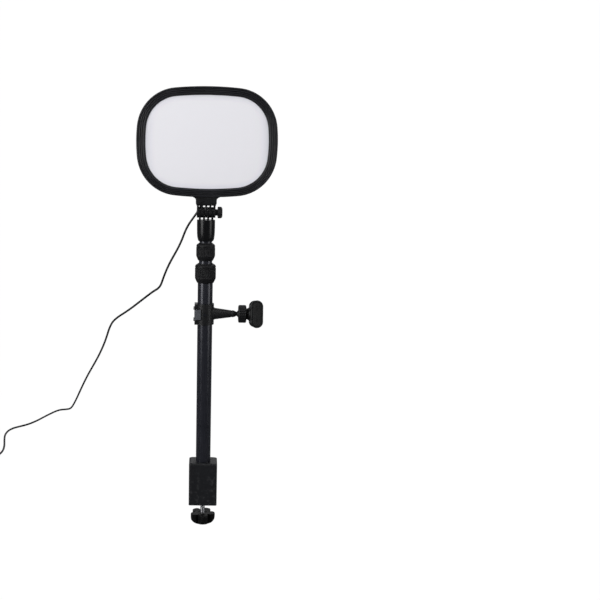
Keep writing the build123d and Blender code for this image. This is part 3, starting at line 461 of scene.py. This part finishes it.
# ---------------------------------------------------------------- lead
lead_route = [
    (-6, -23.5, 472), (-8.5, -22.8, 458.5), (-18, -21.5, 444), (-32.5, -19, 423.5), (-42.5, -15, 394.5),
    (-62, -4, 359.5), (-72, 6, 334), (-77.5, 14, 316.5), (-91.5, 26, 306.5), (-112.5, 45, 287.5),
    (-136.5, 66, 266), (-164.5, 92, 244.5), (-175, 110, 226.5), (-185.5, 135, 195), (-200, 163, 162.5),
    (-215, 189, 134.5), (-231.5, 217, 104.5), (-249, 253, 68), (-262, 288, 40), (-270, 306, 24),
    (-276.5, 320, 12), (-283, 329.5, 4.5), (-292.5, 334, 1.9), (-303, 331, 1.9), (-310.5, 321, 1.9),
    (-319, 302, 1.9), (-329, 277, 1.9), (-339, 249, 1.9), (-352, 225, 1.9), (-366, 211, 1.9),
    (-377, 199, 1.9), (-383, 181, 1.9), (-383, 155, 1.9), (-377.5, 126, 1.9), (-370, 92, 1.9),
    (-366.5, 62, 1.9), (-370.5, 38, 1.9), (-377, 16, 1.9), (-378, -4, 1.9),
]
LEAD_DIAMETER = 3.6
COIL_RADIUS = 20.2
COIL_TURNS = 5.5


def coil_points(centre_x, centre_y):
    """Turns wound inwards, then outwards, then inwards again, each layer on the one below.

    Angle is minus two pi times the turn; radius and lift are broken lines over the turn.
    """
    turn = np.arange(1, int(COIL_TURNS * 16) + 1) / 16
    radius = np.interp(turn, [0, 0.5, 1, 1.35, 3.4, 3.8, 4.8, 5.1, COIL_TURNS],
                       [COIL_RADIUS, 18.0, 16.5, 16.5, 23.9, 23.9, COIL_RADIUS, 19.9, COIL_RADIUS])
    lift = np.interp(turn, [0, 1.05, 1.4, 3.4, 3.8, 4.75, 5.15, COIL_TURNS],
                     [1.9, 1.9, 5.5, 5.5, 9.1, 9.1, 12.7, 12.7])
    angle = -2 * pi * turn
    return np.stack([centre_x + radius * np.cos(angle), centre_y + radius * np.sin(angle), lift], -1)


def make_lead():
    """The power lead: its free run, the put-away coil and the short tail to the plug, as one spline."""
    centre_x, centre_y = lead_route[-1][0] - COIL_RADIUS, lead_route[-1][1]
    nose_y = span("usb_plug_body", 1)[0] / MM
    plug_x, plug_z = middle("usb_plug_body").x / MM, middle("usb_plug_body").z / MM
    wound = coil_points(centre_x, centre_y)
    tail = np.array([(plug_x, centre_y + 7, 12.6), (plug_x, centre_y + 15, 11.6), (plug_x, centre_y + 24, 6.6),
                     (plug_x, nose_y - 3, plug_z + 0.2), (plug_x, nose_y + 6, plug_z)])
    points = np.concatenate([np.array(lead_route, float), wound, tail]) * MM
    curve = bpy.data.curves.new("power_lead", "CURVE")
    curve.dimensions = "3D"
    spline = curve.splines.new("NURBS")
    spline.points.add(len(points) - 1)
    spline.points.foreach_set("co", np.c_[points, np.ones(len(points))].ravel())
    spline.order_u = 3
    spline.use_endpoint_u = True
    spline.resolution_u = 6
    curve.bevel_depth = LEAD_DIAMETER / 2 * MM
    curve.bevel_resolution = 4
    curve.use_fill_caps = True
    curve.resolution_u = curve.render_resolution_u = 6
    piece = bpy.data.objects.new("power_lead", curve)
    scene.collection.objects.link(piece)
    piece.data.materials.append(FINISHES["cord_black"])
    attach(piece, "head")
    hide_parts("usb_cord", "cord_coil")
    return piece


power_lead = make_lead()


def gland_profile():
    """A tapered boot with four grooves, its collar against the outlet box."""
    line = [(1.85, 0.1, 0.2), (2.35, 0.1, 0.3)]
    for k in range(4):
        z = 1.6 + 2.0 * k
        radius = 2.45 + 0.2 * k
        line += [(radius, z, 0.2), (radius - 0.45, z + 0.25, 0.15), (radius - 0.45, z + 0.75, 0.15),
                 (radius + 0.1, z + 1.0, 0.2)]
    return line + [(3.4, 9.2, 0.3), (3.9, 9.4, 0.3), (3.9, 11.9, 0.3), (2.15, 12.0, 0.1), (2.15, 16.0, 0.1),
                   (1.85, 16.0, 0.1)]


def make_gland():
    x, y, z = lead_route[0]
    add_piece("cable_boot", "head", "black_rubber", [
        turned(rounded(gland_profile(), True) * MM, 48, True, at=(x * MM, y * MM, z * MM))], ["cable_gland"])


make_gland()


# ---------------------------------------------------------------- lamp head
PANEL = dict(half_width=114.5, half_height=88.5, side=250.0, top=540.0, corner=68.0)
OPENING = dict(half_width=99.7, half_height=74.8, side=235.7, top=525.7, corner=53.7)
BAND = 14.3                 # width of the bezel's face between the two outlines
FRONT_Y = pole_y / MM - 9.0
HEAD_Z = head.z / MM


def bulged_outline(half_width, half_height, side, top, corner, each=26):
    """Four bulging sides and four corner arcs tangent to them, as (x, z), anticlockwise.

    Every arc is centre + radius (cos, sin), and each corner's centre is where the circles of radius
    side - corner and top - corner about the two sides' centres cross.
    """
    side_c, top_c = half_width - side, half_height - top
    near_side, near_top, apart = side - corner, top - corner, np.hypot(side_c, top_c)
    along = (near_side**2 - near_top**2 + apart**2) / (2 * apart)
    off = np.sqrt(near_side**2 - along**2)
    cx = side_c - along * side_c / apart - off * top_c / apart
    cy = along * top_c / apart - off * side_c / apart
    low, high = np.arctan2(cy, cx - side_c), np.arctan2(cy - top_c, cx)
    s = np.linspace(0, 1, each, endpoint=False)

    def arc(x, y, radius, start, end):
        turn = start + (end - start) * s
        return np.stack([x + radius * np.cos(turn), y + radius * np.sin(turn)], -1)

    return np.concatenate([
        arc(side_c, 0, side, -low, low), arc(cx, cy, corner, low, high),
        arc(0, top_c, top, high, pi - high), arc(-cx, cy, corner, pi - high, pi - low),
        arc(-side_c, 0, side, pi - low, pi + low), arc(-cx, -cy, corner, pi + low, pi + high),
        arc(0, -top_c, top, pi + high, 2 * pi - high), arc(cx, -cy, corner, 2 * pi - high, 2 * pi - low)])


panel = bulged_outline(**PANEL)
opening = bulged_outline(**OPENING)


def band_part(profile, closed=True):
    """Carries (distance in from the edge, depth) round the band: each point is a mix of the two outlines."""
    rings = []
    for inwards, depth in profile:
        flat = panel + (opening - panel) * (inwards / BAND)
        rings.append(np.stack([flat[:, 0], np.full(len(flat), FRONT_Y + depth), HEAD_Z + flat[:, 1]], -1))
    return rings_to_part(np.array(rings) * MM, closed)


def make_bezel():
    """Rounded outer edge, a raised rim, three fine steps towards the glass and a rounded lip."""
    line = [(0, 12, 0.1), (0, 0, 2.0), (3.0, 0, 0.5)]
    for start, level in ((3.5, 0.0), (6.4, 0.1), (9.3, 0.2)):
        line += [(start, level + 1.1, 0.3), (start + 0.6, level + 1.1, 0.3), (start + 1.3, level, 0.7),
                 (start + 2.4, level, 0.6)]
    line += [(12.3, 1.0, 0.4), (BAND, 1.3, 0.5), (BAND, 2.2, 0.1), (2.0, 2.2, 0.3), (2.0, 12, 0.1)]
    add_piece("ridged_bezel", "head", "bezel_black", [band_part(rounded(line, True, 4))], ["front_bezel"])


def make_diffuser():
    """Opal sheet: each ring is the opening shrunk towards the centre, and the front swells by a parabola."""
    shrink = np.concatenate([[1.035, 1.035], np.linspace(1.03, 0.02, 40)])
    swell = np.concatenate([[4.2, 2.4], 2.3 - 0.75 * (1 - np.linspace(1.0, 0.02, 40) ** 2)])
    rings = [np.stack([opening[:, 0] * share, np.full(len(opening), FRONT_Y + y),
                       HEAD_Z + opening[:, 1] * share], -1) for share, y in zip(shrink, swell)]
    sheet = rings_to_part(np.array(rings) * MM, False)
    add_piece("opal_sheet", "head", "opal", [sheet], ["diffuser_panel"], 60)


def turned_piece(name, body, slot, profile, replaces, at=(0, 0), axis="Z", **options):
    """A closed (radius, height, rounding) profile turned round the pole or another axis, in millimetres."""
    places = {"Z": (at[0], at[1], 0), "X": (0, at[0], at[1]), "Y": (at[0], 0, at[1])}
    return add_piece(name, body, slot, [
        turned(rounded(profile, True) * MM, options.pop("segments", 96), True, axis=axis,
               at=places[axis], **options)], replaces)


POLE = (pole_x, pole_y)


def tube_profile(node, wall):
    """A tube's wall with its rims rounded, as long as the node that it stands for."""
    low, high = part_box(node)
    radius, bottom, top = (high.x - low.x) / 2 / MM, low.z / MM, high.z / MM
    return [(radius, bottom, 0.3), (radius, top, 0.35),
            (radius - wall, top, 0.35), (radius - wall, bottom, 0.3)]


def make_tubes():
    for name, body, node in (("lower_tube", "clamp", "pole_outer_tube"),
                             ("middle_tube", "middle_pole", "pole_mid_tube"),
                             ("upper_tube", "upper_pole", "pole_inner_tube")):
        turned_piece(name, body, "black_anodised", tube_profile(node, 1.2), [node], POLE)


def flutes(count, depth, low, high, fade):
    """A grip: the radius falls by depth where the cosine is low, only between low and high."""
    def shape(radius, height, angle):
        band = smooth(height, low, low + fade) * (1 - smooth(height, high - fade, high))
        outside = radius > radius.max() - 2.5 * MM
        wave = np.clip(0.5 - 0.9 * np.cos(count * angle), 0, 1)
        return radius - depth * band * outside * wave
    return shape


def make_collar(name, body, node, tube, bore, mouth, ribs):
    """A twist collar: a tapered foot, a ribbed grip, a groove and a round crown."""
    low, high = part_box(node)
    radius, bottom, top = (high.x - low.x) / 2 / MM, low.z / MM, high.z / MM
    foot = [(tube + 0.4, bottom, 0.1), (tube + 1.3, bottom, 0.5), (bore + 1.0, bottom + 2.6, 1.0),
            (radius - 0.9, bottom + 5.4, 1.5), (radius - 0.1, bottom + 7.6, 1.0)]
    grip = [(radius, z, 0) for z in np.linspace(bottom + 8.2, top - 8.0, 30)]
    crown = [(radius, top - 7.4, 0.3), (radius - 0.8, top - 7.1, 0.2), (radius - 0.8, top - 6.3, 0.2),
             (radius - 0.05, top - 6.0, 0.4), (radius - 0.15, top - 4.4, 0.8), (radius - 1.3, top - 2.2, 1.4),
             (mouth + 1.9, top - 0.9, 0.6), (mouth + 1.6, top, 0.5)]
    inside = [(mouth, top, 0.3), (mouth, top - 6, 0.3), (bore, top - 13, 0.3), (bore, bottom + 2.5, 0.1),
              (tube + 0.4, bottom + 2.4, 0.1)]
    ribbing = flutes(ribs, 0.5 * MM, (bottom + 8.0) * MM, (top - 7.8) * MM, 1.2 * MM)
    turned_piece(name, body, "soft_black", foot + grip + crown + inside, [node], POLE,
                 segments=ribs * 8, shape=ribbing)


def make_adapter():
    """Polished socket: a round foot, a long soft taper and four hinge plates on its flat top."""
    base, top = span("hinge_adapter", 2)[0] / MM, 438.2
    line = [(3.0, base, 0.2), (12.3, base, 0.5), (13.1, base + 2.0, 1.0), (14.0, base + 5.2, 2.0),
            (14.55, base + 10.5, 4), (14.85, base + 20, 5), (14.9, top, 0.9), (3.0, top, 0.2)]
    parts = [turned(rounded(line, True) * MM, 96, True, at=(pole_x, pole_y, 0))]
    parts += [plate_part(i, top - 0.6) for i in (1, 3, 5, 7)]
    add_piece("polished_adapter", "adapter", "gloss_black", parts, ["hinge_adapter"])


def plate_part(i, root_z, radius=8.8, pitch=3.4, thickness=3.36):
    """One hinge plate: a half disc round the tilt axis with straight sides to root_z, edges rounded."""
    toward = 1 if root_z > tilt_z / MM else -1
    turn = np.linspace(0, pi, 30)
    y, z = radius * np.cos(turn), -toward * radius * np.sin(turn)
    root = root_z - tilt_z / MM
    outline = np.stack([np.append(y, [-radius, radius]), np.append(z, [root, root])], -1)
    if toward > 0:
        outline = outline[::-1]
    edge = [(0.35, 0), (0.1, 0.1), (0, 0.35), (0, thickness - 0.35), (0.1, thickness - 0.1), (0.35, thickness)]
    start = (i - 4) * pitch - thickness / 2
    return stacked(outline * MM, np.array(edge) * MM, "X", (start * MM, pole_y, tilt_z))


def make_neck():
    """The neck's outline follows the bezel's lower edge and flares into it; its edges are rounded."""
    half, flare, bottom, depth, lap = 17.15, 5.0, 461.3, 14.0, 0.6
    edge_z = HEAD_Z - PANEL["half_height"]
    x = np.linspace(-(half + flare), half + flare, 33)
    top = HEAD_Z - (PANEL["half_height"] - PANEL["top"] + np.sqrt(PANEL["top"] ** 2 - x**2)) + lap
    turn = np.linspace(0, pi / 2, 12)
    arc = np.stack([half + flare - flare * np.cos(turn), edge_z - flare + flare * np.sin(turn) - 0.4], -1)
    corner = rounded([(15.2, bottom + 0.2, 0), (15.2, bottom, 0.9), (half, bottom + 3.0, 2.0),
                      (half, edge_z - flare - 0.4, 0)])
    right_side = np.concatenate([corner[1:], arc[1:-1]])
    left_side = right_side[::-1] * [-1, 1]
    outline = np.concatenate([right_side, np.stack([x, top], -1)[::-1], left_side])
    edge = [(0.9, 0), (0.28, 0.22), (0, 0.9), (0, depth - 0.9), (0.28, depth - 0.22), (0.9, depth)]
    parts = [stacked(outline * MM, np.array(edge) * MM, "Y", (pole_x, pole_y - depth / 2 * MM, 0))]
    parts += [plate_part(i, bottom + 0.8) for i in (0, 2, 4, 6, 8)]
    add_piece("flared_neck", "head", "black_plastic", parts, ["neck_bracket"])


def make_tilt_knob():
    """A six-fluted knob on a waisted hub, with a domed end."""
    start = span("hinge_knob", 0)[0] / MM
    line = [(0.02, start, 0), (5.4, start, 0.3), (5.2, start + 3.2, 0.4), (8.8, start + 3.6, 0.6)]
    line += [(9.65, z, 0) for z in np.linspace(start + 4.4, start + 8.6, 9)]
    line += [(9.1, start + 10.2, 0.8), (6.2, start + 11.5, 1.0), (4.6, start + 11.4, 0.3),
             (4.2, start + 10.9, 0.3), (0.02, start + 10.7, 0)]

    def grip(radius, height, angle):
        out = smooth(radius, 6.0 * MM, 9.0 * MM)
        return radius - 1.6 * MM * out * np.clip(-np.cos(6 * angle) * 1.3 - 0.2, 0, 1)

    turned_piece("fluted_tilt_knob", "tilt_knob", "black_plastic", line, ["hinge_knob"],
                 (pole_y, tilt_z), "X", segments=144, shape=grip)


def make_buttons():
    """Round push buttons with a dished face and a rounded rim."""
    for node in ("dimmer_button", "power_button", "brighter_button"):
        low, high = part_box(node)
        centre, back = (low + high) / 2, high.y / MM
        line = [(0.02, back - 0.75, 0), (2.2, back - 0.6, 0.5), (3.1, back, 0.35), (4.0, back, 0.6),
                (4.0, back - 3.4, 0.1), (0.02, back - 3.4, 0)]
        turned_piece("dished_" + node, node, "black_rubber", line, [node],
                     (centre.x, centre.z), "Y", segments=48)


make_bezel()
make_diffuser()
make_tubes()
make_collar("ribbed_lower_collar", "lower_collar", "lower_collar", 12.5, 14.1, 11.4, 36)
make_collar("ribbed_upper_collar", "upper_collar", "upper_collar", 11.0, 12.5, 9.9, 32)
make_adapter()
make_neck()
make_tilt_knob()
make_buttons()


# ---------------------------------------------------------------- desk clamp
def make_screw():
    """A threaded rod: the radius falls by a triangle wave of height minus pitch times angle over a turn."""
    low, high = span("clamp_screw", 2)
    pitch, depth = 1.25 * MM, 0.62 * MM
    height = np.linspace(low, high - 2.8 * MM, int((high - low) / pitch * 7))

    def thread(radius, z, angle):
        phase = (z / pitch - angle / (2 * pi)) % 1
        ends = smooth(z, low, low + MM) * (1 - smooth(z, height[-1] - 1.5 * MM, height[-1]))
        return radius - depth * np.clip(1.25 * np.abs(2 * phase - 1) - 0.12, 0, 1) - 0.7 * MM * (1 - ends)

    rod = turned(np.stack([np.full(len(height), 4.0 * MM), height], -1), 40, False, thread)
    tip = turned(rounded([(0.02, high / MM - 3.2, 0), (3.15, high / MM - 3.2, 0.1), (3.15, high / MM, 0.5),
                          (0.02, high / MM, 0)], True) * MM, 40, True)
    add_piece("threaded_screw", "clamp_screw", "steel", [rod, tip], ["clamp_screw"], 30)


def make_star_knob():
    """Five lobes: the polar radius is the larger of a round core and each lobe circle, softly joined.

    A lobe circle of radius r at distance c reaches c cos t + sqrt(r^2 - c^2 sin^2 t) at the angle t from it.
    """
    low, high = span("star_knob", 2)
    low, high = low / MM, high / MM
    reach, lobe, core, lobes, first_lobe, joining = 22.4, 6.9, 13.1, 5, radians(62), 14
    centre = reach - lobe
    angle = np.linspace(0, 2 * pi, 200, endpoint=False)
    t = (angle - first_lobe + pi / lobes) % (2 * pi / lobes) - pi / lobes
    inside = lobe**2 - (centre * np.sin(t)) ** 2
    edge = np.where(inside > 0, centre * np.cos(t) + np.sqrt(np.maximum(inside, 0)), 0)
    outline = (edge**joining + core**joining) ** (1 / joining)
    outline *= reach / outline.max()
    profile = rounded([(0.02, low + 0.9, 0), (6.5, low + 0.9, 0.6), (7.2, low, 0.6), (11.0, low, 1.5),
                       (17.9, low + 2.9, 3), (21.4, low + 7.6, 3), (reach, low + 13, 2), (reach, high, 1.5),
                       (7.5, high, 1.0), (7.0, high - 1, 0.5), (4.2, high - 1, 0.2), (4.2, high - 4, 0.1),
                       (0.02, high - 4, 0)], True)
    limit = profile[:, :1]
    radius = -np.log(np.exp(-limit * 2.2) + np.exp(-outline[None, :] * 2.2)) / 2.2
    radius = np.clip(np.where(limit < 11.5, limit, radius), 0, None)
    rings = np.stack([radius * np.cos(angle), radius * np.sin(angle), profile[:, 1:] + 0 * radius], -1) * MM
    add_piece("lobed_knob", "clamp_screw", "knob_black", [rings_to_part(rings, True)], ["star_knob"])


def make_foot():
    """The screw's foot: a chamfered cap over a rubber pad with three round grooves."""
    low, high = span("foot_cap", 2)
    low, high = low / MM, high / MM
    turned_piece("dished_foot", "clamp_foot", "black_plastic", [
        (3.3, low, 0.2), (9.5, low, 1.0), (12.0, low + 2.2, 0.8), (12.0, high, 0.3), (3.3, high, 0.2),
    ], ["foot_cap"])
    low, high = span("foot_pad", 2)
    low, high = low / MM, high / MM
    line = [(0.02, low, 0), (12.0, low, 0.4), (12.0, high, 0.6)]
    for radius in (9.6, 7.0, 4.4):
        line += [(radius + 0.5, high, 0.15), (radius + 0.4, high - 0.5, 0.15),
                 (radius - 0.4, high - 0.5, 0.15), (radius - 0.5, high, 0.15)]
    turned_piece("grooved_foot_pad", "clamp_foot", "black_rubber", line + [(0.02, high, 0)], ["foot_pad"])


make_screw()
make_star_knob()
make_foot()


# ---------------------------------------------------------------- phone holder
ARM = (pole_y, arm_z)
BALL_X = 60.0
BALL_RADIUS = 7.5


def make_arm():
    """A cone from the ring to the ball, with a step at its root and a turned bead near its tip."""
    line = [(0.02, 15, 0), (10.2, 15, 0.2), (10.2, 16.2, 0.5), (9.6, 16.8, 0.3), (9.3, 19.0, 1.0),
            (5.9, 43.5, 3.0), (5.3, 44.6, 0.4), (5.9, 45.4, 0.4), (5.5, 48.4, 0.5), (4.5, 50.6, 0.8),
            (3.4, 53, 1.0), (3.4, 54, 0)]
    turn = np.linspace(radians(207), radians(360), 24)
    line += [(-BALL_RADIUS * sin(a), BALL_X + BALL_RADIUS * cos(a), 0) for a in turn[:-1]]
    line += [(0.02, BALL_X + BALL_RADIUS, 0)]
    turned_piece("turned_arm", "holder_ring", "black_plastic", line, ["holder_arm"], ARM, "X")


def make_socket():
    """The cup behind the ball, waisted past the nut and flared to the clip's plate."""
    line = [(0.02, 68.2, 0), (5.0, 67.2, 0.8), (7.5, 62.0, 0.5), (7.7, 61.0, 0.2), (11.0, 61.0, 0.3),
            (11.0, 69.3, 0.2), (9.0, 69.3, 0.4), (9.6, 71.4, 1.2), (12.5, 75.0, 0.5), (0.02, 75.0, 0)]
    turned_piece("ball_cup", "ball_socket", "black_plastic", line, ["ball_socket"], ARM, "X")


def make_nut():
    """A nut with twenty-four scallops and a plain rim on each side of them."""
    line = [(7.0, 58.4, 0.2), (6.7, 55.7, 0.5), (12.9, 55.7, 0.9), (14.3, 56.4, 0.5), (14.9, 57.4, 0.5)]
    line += [(14.9, x, 0) for x in np.linspace(57.8, 66.8, 14)]
    line += [(14.9, 67.4, 0.4), (14.1, 68.6, 0.6), (13.4, 69.0, 0.4), (11.1, 69.0, 0.3), (11.1, 58.4, 0.3)]
    turned_piece("scalloped_nut", "ball_nut", "black_plastic", line, ["ball_nut"], ARM, "X", segments=240,
                 shape=flutes(24, 0.7 * MM, 57.2 * MM, 67.6 * MM, 1.0 * MM))


def pitched(part, pitch=radians(10)):
    """Turns a part about the ball's own cross axis, the way the clip stands."""
    points, faces = part
    y, z = points[:, 1], points[:, 2]
    across, up = y * cos(pitch) + z * sin(pitch), z * cos(pitch) - y * sin(pitch)
    return np.stack([points[:, 0], across, up], -1) + np.array([0, pole_y, arm_z]), faces


def soft_edges(thickness, soft):
    """Layers of a plate whose rim is a quarter circle at both faces.

    Inset is soft (1 - sin) and depth is soft (1 - cos) of an angle that runs over a quarter turn.
    """
    turn = np.linspace(0, pi / 2, 6)
    inset, depth = soft * (1 - np.sin(turn)), soft * (1 - np.cos(turn))
    return np.concatenate([np.stack([inset, depth], -1), np.stack([inset, thickness - depth], -1)[::-1]])


def bar(width, height, radius, length, soft, x, y):
    """A rounded bar along the clip's own Y, from y on, in millimetres."""
    outline = rounded_box_outline(width, height, radius)
    return stacked(outline * MM, soft_edges(length, soft) * MM, "Y", np.array((x, y, 0.0)) * MM)


def ribbed_pad(y, facing):
    """A rubber pad whose gripping face rises in a row of round ribs across it."""
    low_x, width, height, base, rib = 81.4, 12.5, 32.0, 1.4, 0.6
    z = np.linspace(-height / 2, height / 2, 145)
    edge = smooth(np.abs(z), height / 2, height / 2 - 0.9)
    out = (base + rib * np.abs(np.cos(z * pi / 2.6)) ** 0.6) * (0.55 + 0.45 * edge)
    u = np.linspace(0, 1, 12)
    x = low_x + width * u
    across = 0.6 + 0.4 * (1 - (2 * u - 1) ** 8)
    front = out[:, None] * across[None, :]
    rows = np.concatenate([np.stack([x + 0 * front, front, z[:, None] + 0 * front], -1),
                           np.stack([x[::-1] + 0 * front, 0 * front, z[:, None] + 0 * front], -1)], 1)
    rows[..., 1] = y + facing * rows[..., 1]
    return rings_to_part(rows * MM, False)


def make_clip():
    """Both jaws, each with a raised rim round a soft face, the box between them and the drawn-out tongue."""
    gap, jaw, box_x, jaw_x = 58.0, 6.0, 78.0, 85.2
    outline = rounded_box_outline(20.4, 45.5, 10.15, 14)
    front, back = -gap / 2 - jaw, gap / 2
    rim = [(1.0, 0.15), (2.0, 0.0), (2.6, 0.15), (2.9, 0.8), (3.5, 0.9)]

    def jaw_part(y, outward):
        """The plate: its own edge, a rim on the outer face and a sunk field inside it."""
        profile = soft_edges(jaw, 1.5).tolist()[2:-2] + [(inset, jaw - depth) for inset, depth in rim]
        layers = np.array([(inset, jaw - d if outward < 0 else d) for inset, d in profile])
        return pitched(stacked(outline * MM, layers * MM, "Y", (jaw_x * MM, y * MM, 0)))

    def face(name, body, y, outward):
        """The soft field: a shallow dome of the outline's shape inside the rim."""
        share = np.linspace(0, 1, 9)
        inset, rise = 3.3 + 6.3 * share, 0.85 - 0.55 * (1 - (1 - share) ** 2)
        layers = np.concatenate([[(3.3, 1.4)], np.stack([inset, rise], -1)])
        layers[:, 1] = layers[:, 1] if outward < 0 else -layers[:, 1]
        dome = stacked(outline * MM, layers * MM, "Y", (jaw_x * MM, y * MM, 0))
        add_piece(name, body, "black_rubber", [pitched(dome)])

    box = bar(6.0, 30.0, 1.6, gap - 1.0, 0.4, box_x, front + 3)
    add_piece("clip_front_jaw", "clip", "clip_black", [jaw_part(front, -1), pitched(box)], ["clip_body"])
    face("front_jaw_field", "clip", front, -1)
    tongue = bar(2.6, 24.6, 1.2, 33.0, 0.3, box_x, -3.4)
    add_piece("clip_rear_jaw", "clip_jaw", "clip_black",
              [jaw_part(back, 1), pitched(tongue)], ["clip_slide_jaw"])
    face("rear_jaw_field", "clip_jaw", back + jaw, 1)
    add_piece("front_grip", "clip", "black_rubber", [pitched(ribbed_pad(-back, 1))], ["clip_front_pad"])
    add_piece("rear_grip", "clip_jaw", "black_rubber", [pitched(ribbed_pad(back, -1))], ["clip_rear_pad"])


make_arm()
make_socket()
make_nut()
make_clip()


# ---------------------------------------------------------------- plug
def make_plug():
    """A rounded grip with cross ribs and a grooved taper at the lead's end."""
    low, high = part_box("usb_plug_body")
    x, z = (low.x + high.x) / 2, (low.z + high.z) / 2
    nose, end = low.y / MM, high.y / MM
    outline = rounded_box_outline(15.5, 7.6, 2.2)
    layers = [(1.4, 0), (0.4, 0.25), (0, 1.2)]
    for y in (7.0, 9.5, 12.0, 14.5):
        layers += [(0, y), (0.45, y + 0.35), (0.45, y + 0.95), (0, y + 1.3)]
    layers += [(0, 22.6), (0.3, 23.7), (0.9, 24.0)]
    grip = stacked(outline * MM, np.array(layers) * MM, "Y", (x, high.y - 24 * MM, z))
    line = [(1.85, nose, 0.1), (2.3, nose, 0.3)]
    for k in range(3):
        y, radius = nose + 1.6 + 2.6 * k, 2.5 + 0.3 * k
        line += [(radius, y, 0.15), (radius - 0.45, y + 0.3, 0.15), (radius - 0.45, y + 0.9, 0.15),
                 (radius + 0.1, y + 1.2, 0.15)]
    line += [(3.4, end - 23.6, 0.2), (1.85, end - 23.6, 0.1)]
    boot = turned(rounded(line, True) * MM, 48, True, axis="Y", at=(x, 0, z))
    return add_piece("moulded_plug", "head", "black_plastic", [grip, boot], ["usb_plug_body"])


plug = make_plug()


# ---------------------------------------------------------------- CAD nodes that stay in view
for subpart in frame["record"]["subparts"]:
    node = frame["nodes"][subpart["node"]]
    node.data.materials.clear()
    node.data.materials.append(FINISHES[subpart["material_slot"]])
    node.data.set_sharp_from_angle(angle=radians(35))


# ---------------------------------------------------------------- stage
def paper_sheet(name, corners):
    """A white sheet given by four corners, seen but with no part in reflections, shadows or bounce light.

    Its base is nearly black and its brightness is all its own glow, so no light changes it.
    """
    mesh = bpy.data.meshes.new(name)
    mesh.from_pydata(corners, [], [(0, 1, 2, 3)])
    piece = bpy.data.objects.new(name, mesh)
    scene.collection.objects.link(piece)
    f = Finish(name, Roughness=0.9, Emission_Color=(1, 1, 1, 1), Emission_Strength=1.0)
    f.drive("Base Color", f.blend(f.between(f.noise(3.0, 2.0), 0.3, 0.7, 0.0, 1.0), (0.01,) * 3, (0.009,) * 3))
    mesh.materials.append(f.material)
    piece.visible_diffuse = piece.visible_glossy = piece.visible_shadow = False


def light(name, place, aim, width, height, power):
    """A rectangular softbox that points from its place to aim."""
    lamp = bpy.data.lights.new(name, "AREA")
    lamp.shape, lamp.size, lamp.size_y, lamp.energy = "RECTANGLE", width, height, power
    piece = bpy.data.objects.new(name, lamp)
    scene.collection.objects.link(piece)
    piece.location = place
    piece.rotation_euler = (Vector(aim) - Vector(place)).to_track_quat("-Z", "Y").to_euler()


SIDE, NEAR, FAR, FLOOR, LOW, HIGH = 6, -6, 3, -0.72, -3, 5    # the white room's walls and floor
paper_sheet("backdrop", [(-SIDE, FAR, LOW), (SIDE, FAR, LOW), (SIDE, FAR, HIGH), (-SIDE, FAR, HIGH)])
paper_sheet("floor", [(-SIDE, NEAR, FLOOR), (SIDE, NEAR, FLOOR), (SIDE, FAR, FLOOR), (-SIDE, FAR, FLOOR)])
paper_sheet("front_wall", [(-SIDE, NEAR, LOW), (SIDE, NEAR, LOW), (SIDE, NEAR, HIGH), (-SIDE, NEAR, HIGH)])
for wall, x in (("left_wall", -SIDE), ("right_wall", SIDE)):
    paper_sheet(wall, [(x, NEAR, LOW), (x, FAR, LOW), (x, FAR, HIGH), (x, NEAR, HIGH)])
light("left_softbox", (-1.5, -1.2, 0.9), (0, 0, 0.35), 0.9, 1.8, 27)
light("right_softbox", (1.7, -0.9, 0.8), (0, 0, 0.35), 0.8, 1.8, 13)
light("top_softbox", (0.1, -0.6, 1.9), (0, 0, 0.4), 1.4, 1.0, 5)
light("back_softbox", (0.2, 1.8, 1.0), (0, 0, 0.4), 1.6, 1.2, 6)

world = bpy.data.worlds.new("studio")
world.use_nodes = True
world.node_tree.nodes["Background"].inputs["Color"].default_value = (0.85, 0.88, 0.93, 1)
world.node_tree.nodes["Background"].inputs["Strength"].default_value = 0.16
scene.world = world
scene.view_settings.view_transform = "Standard"
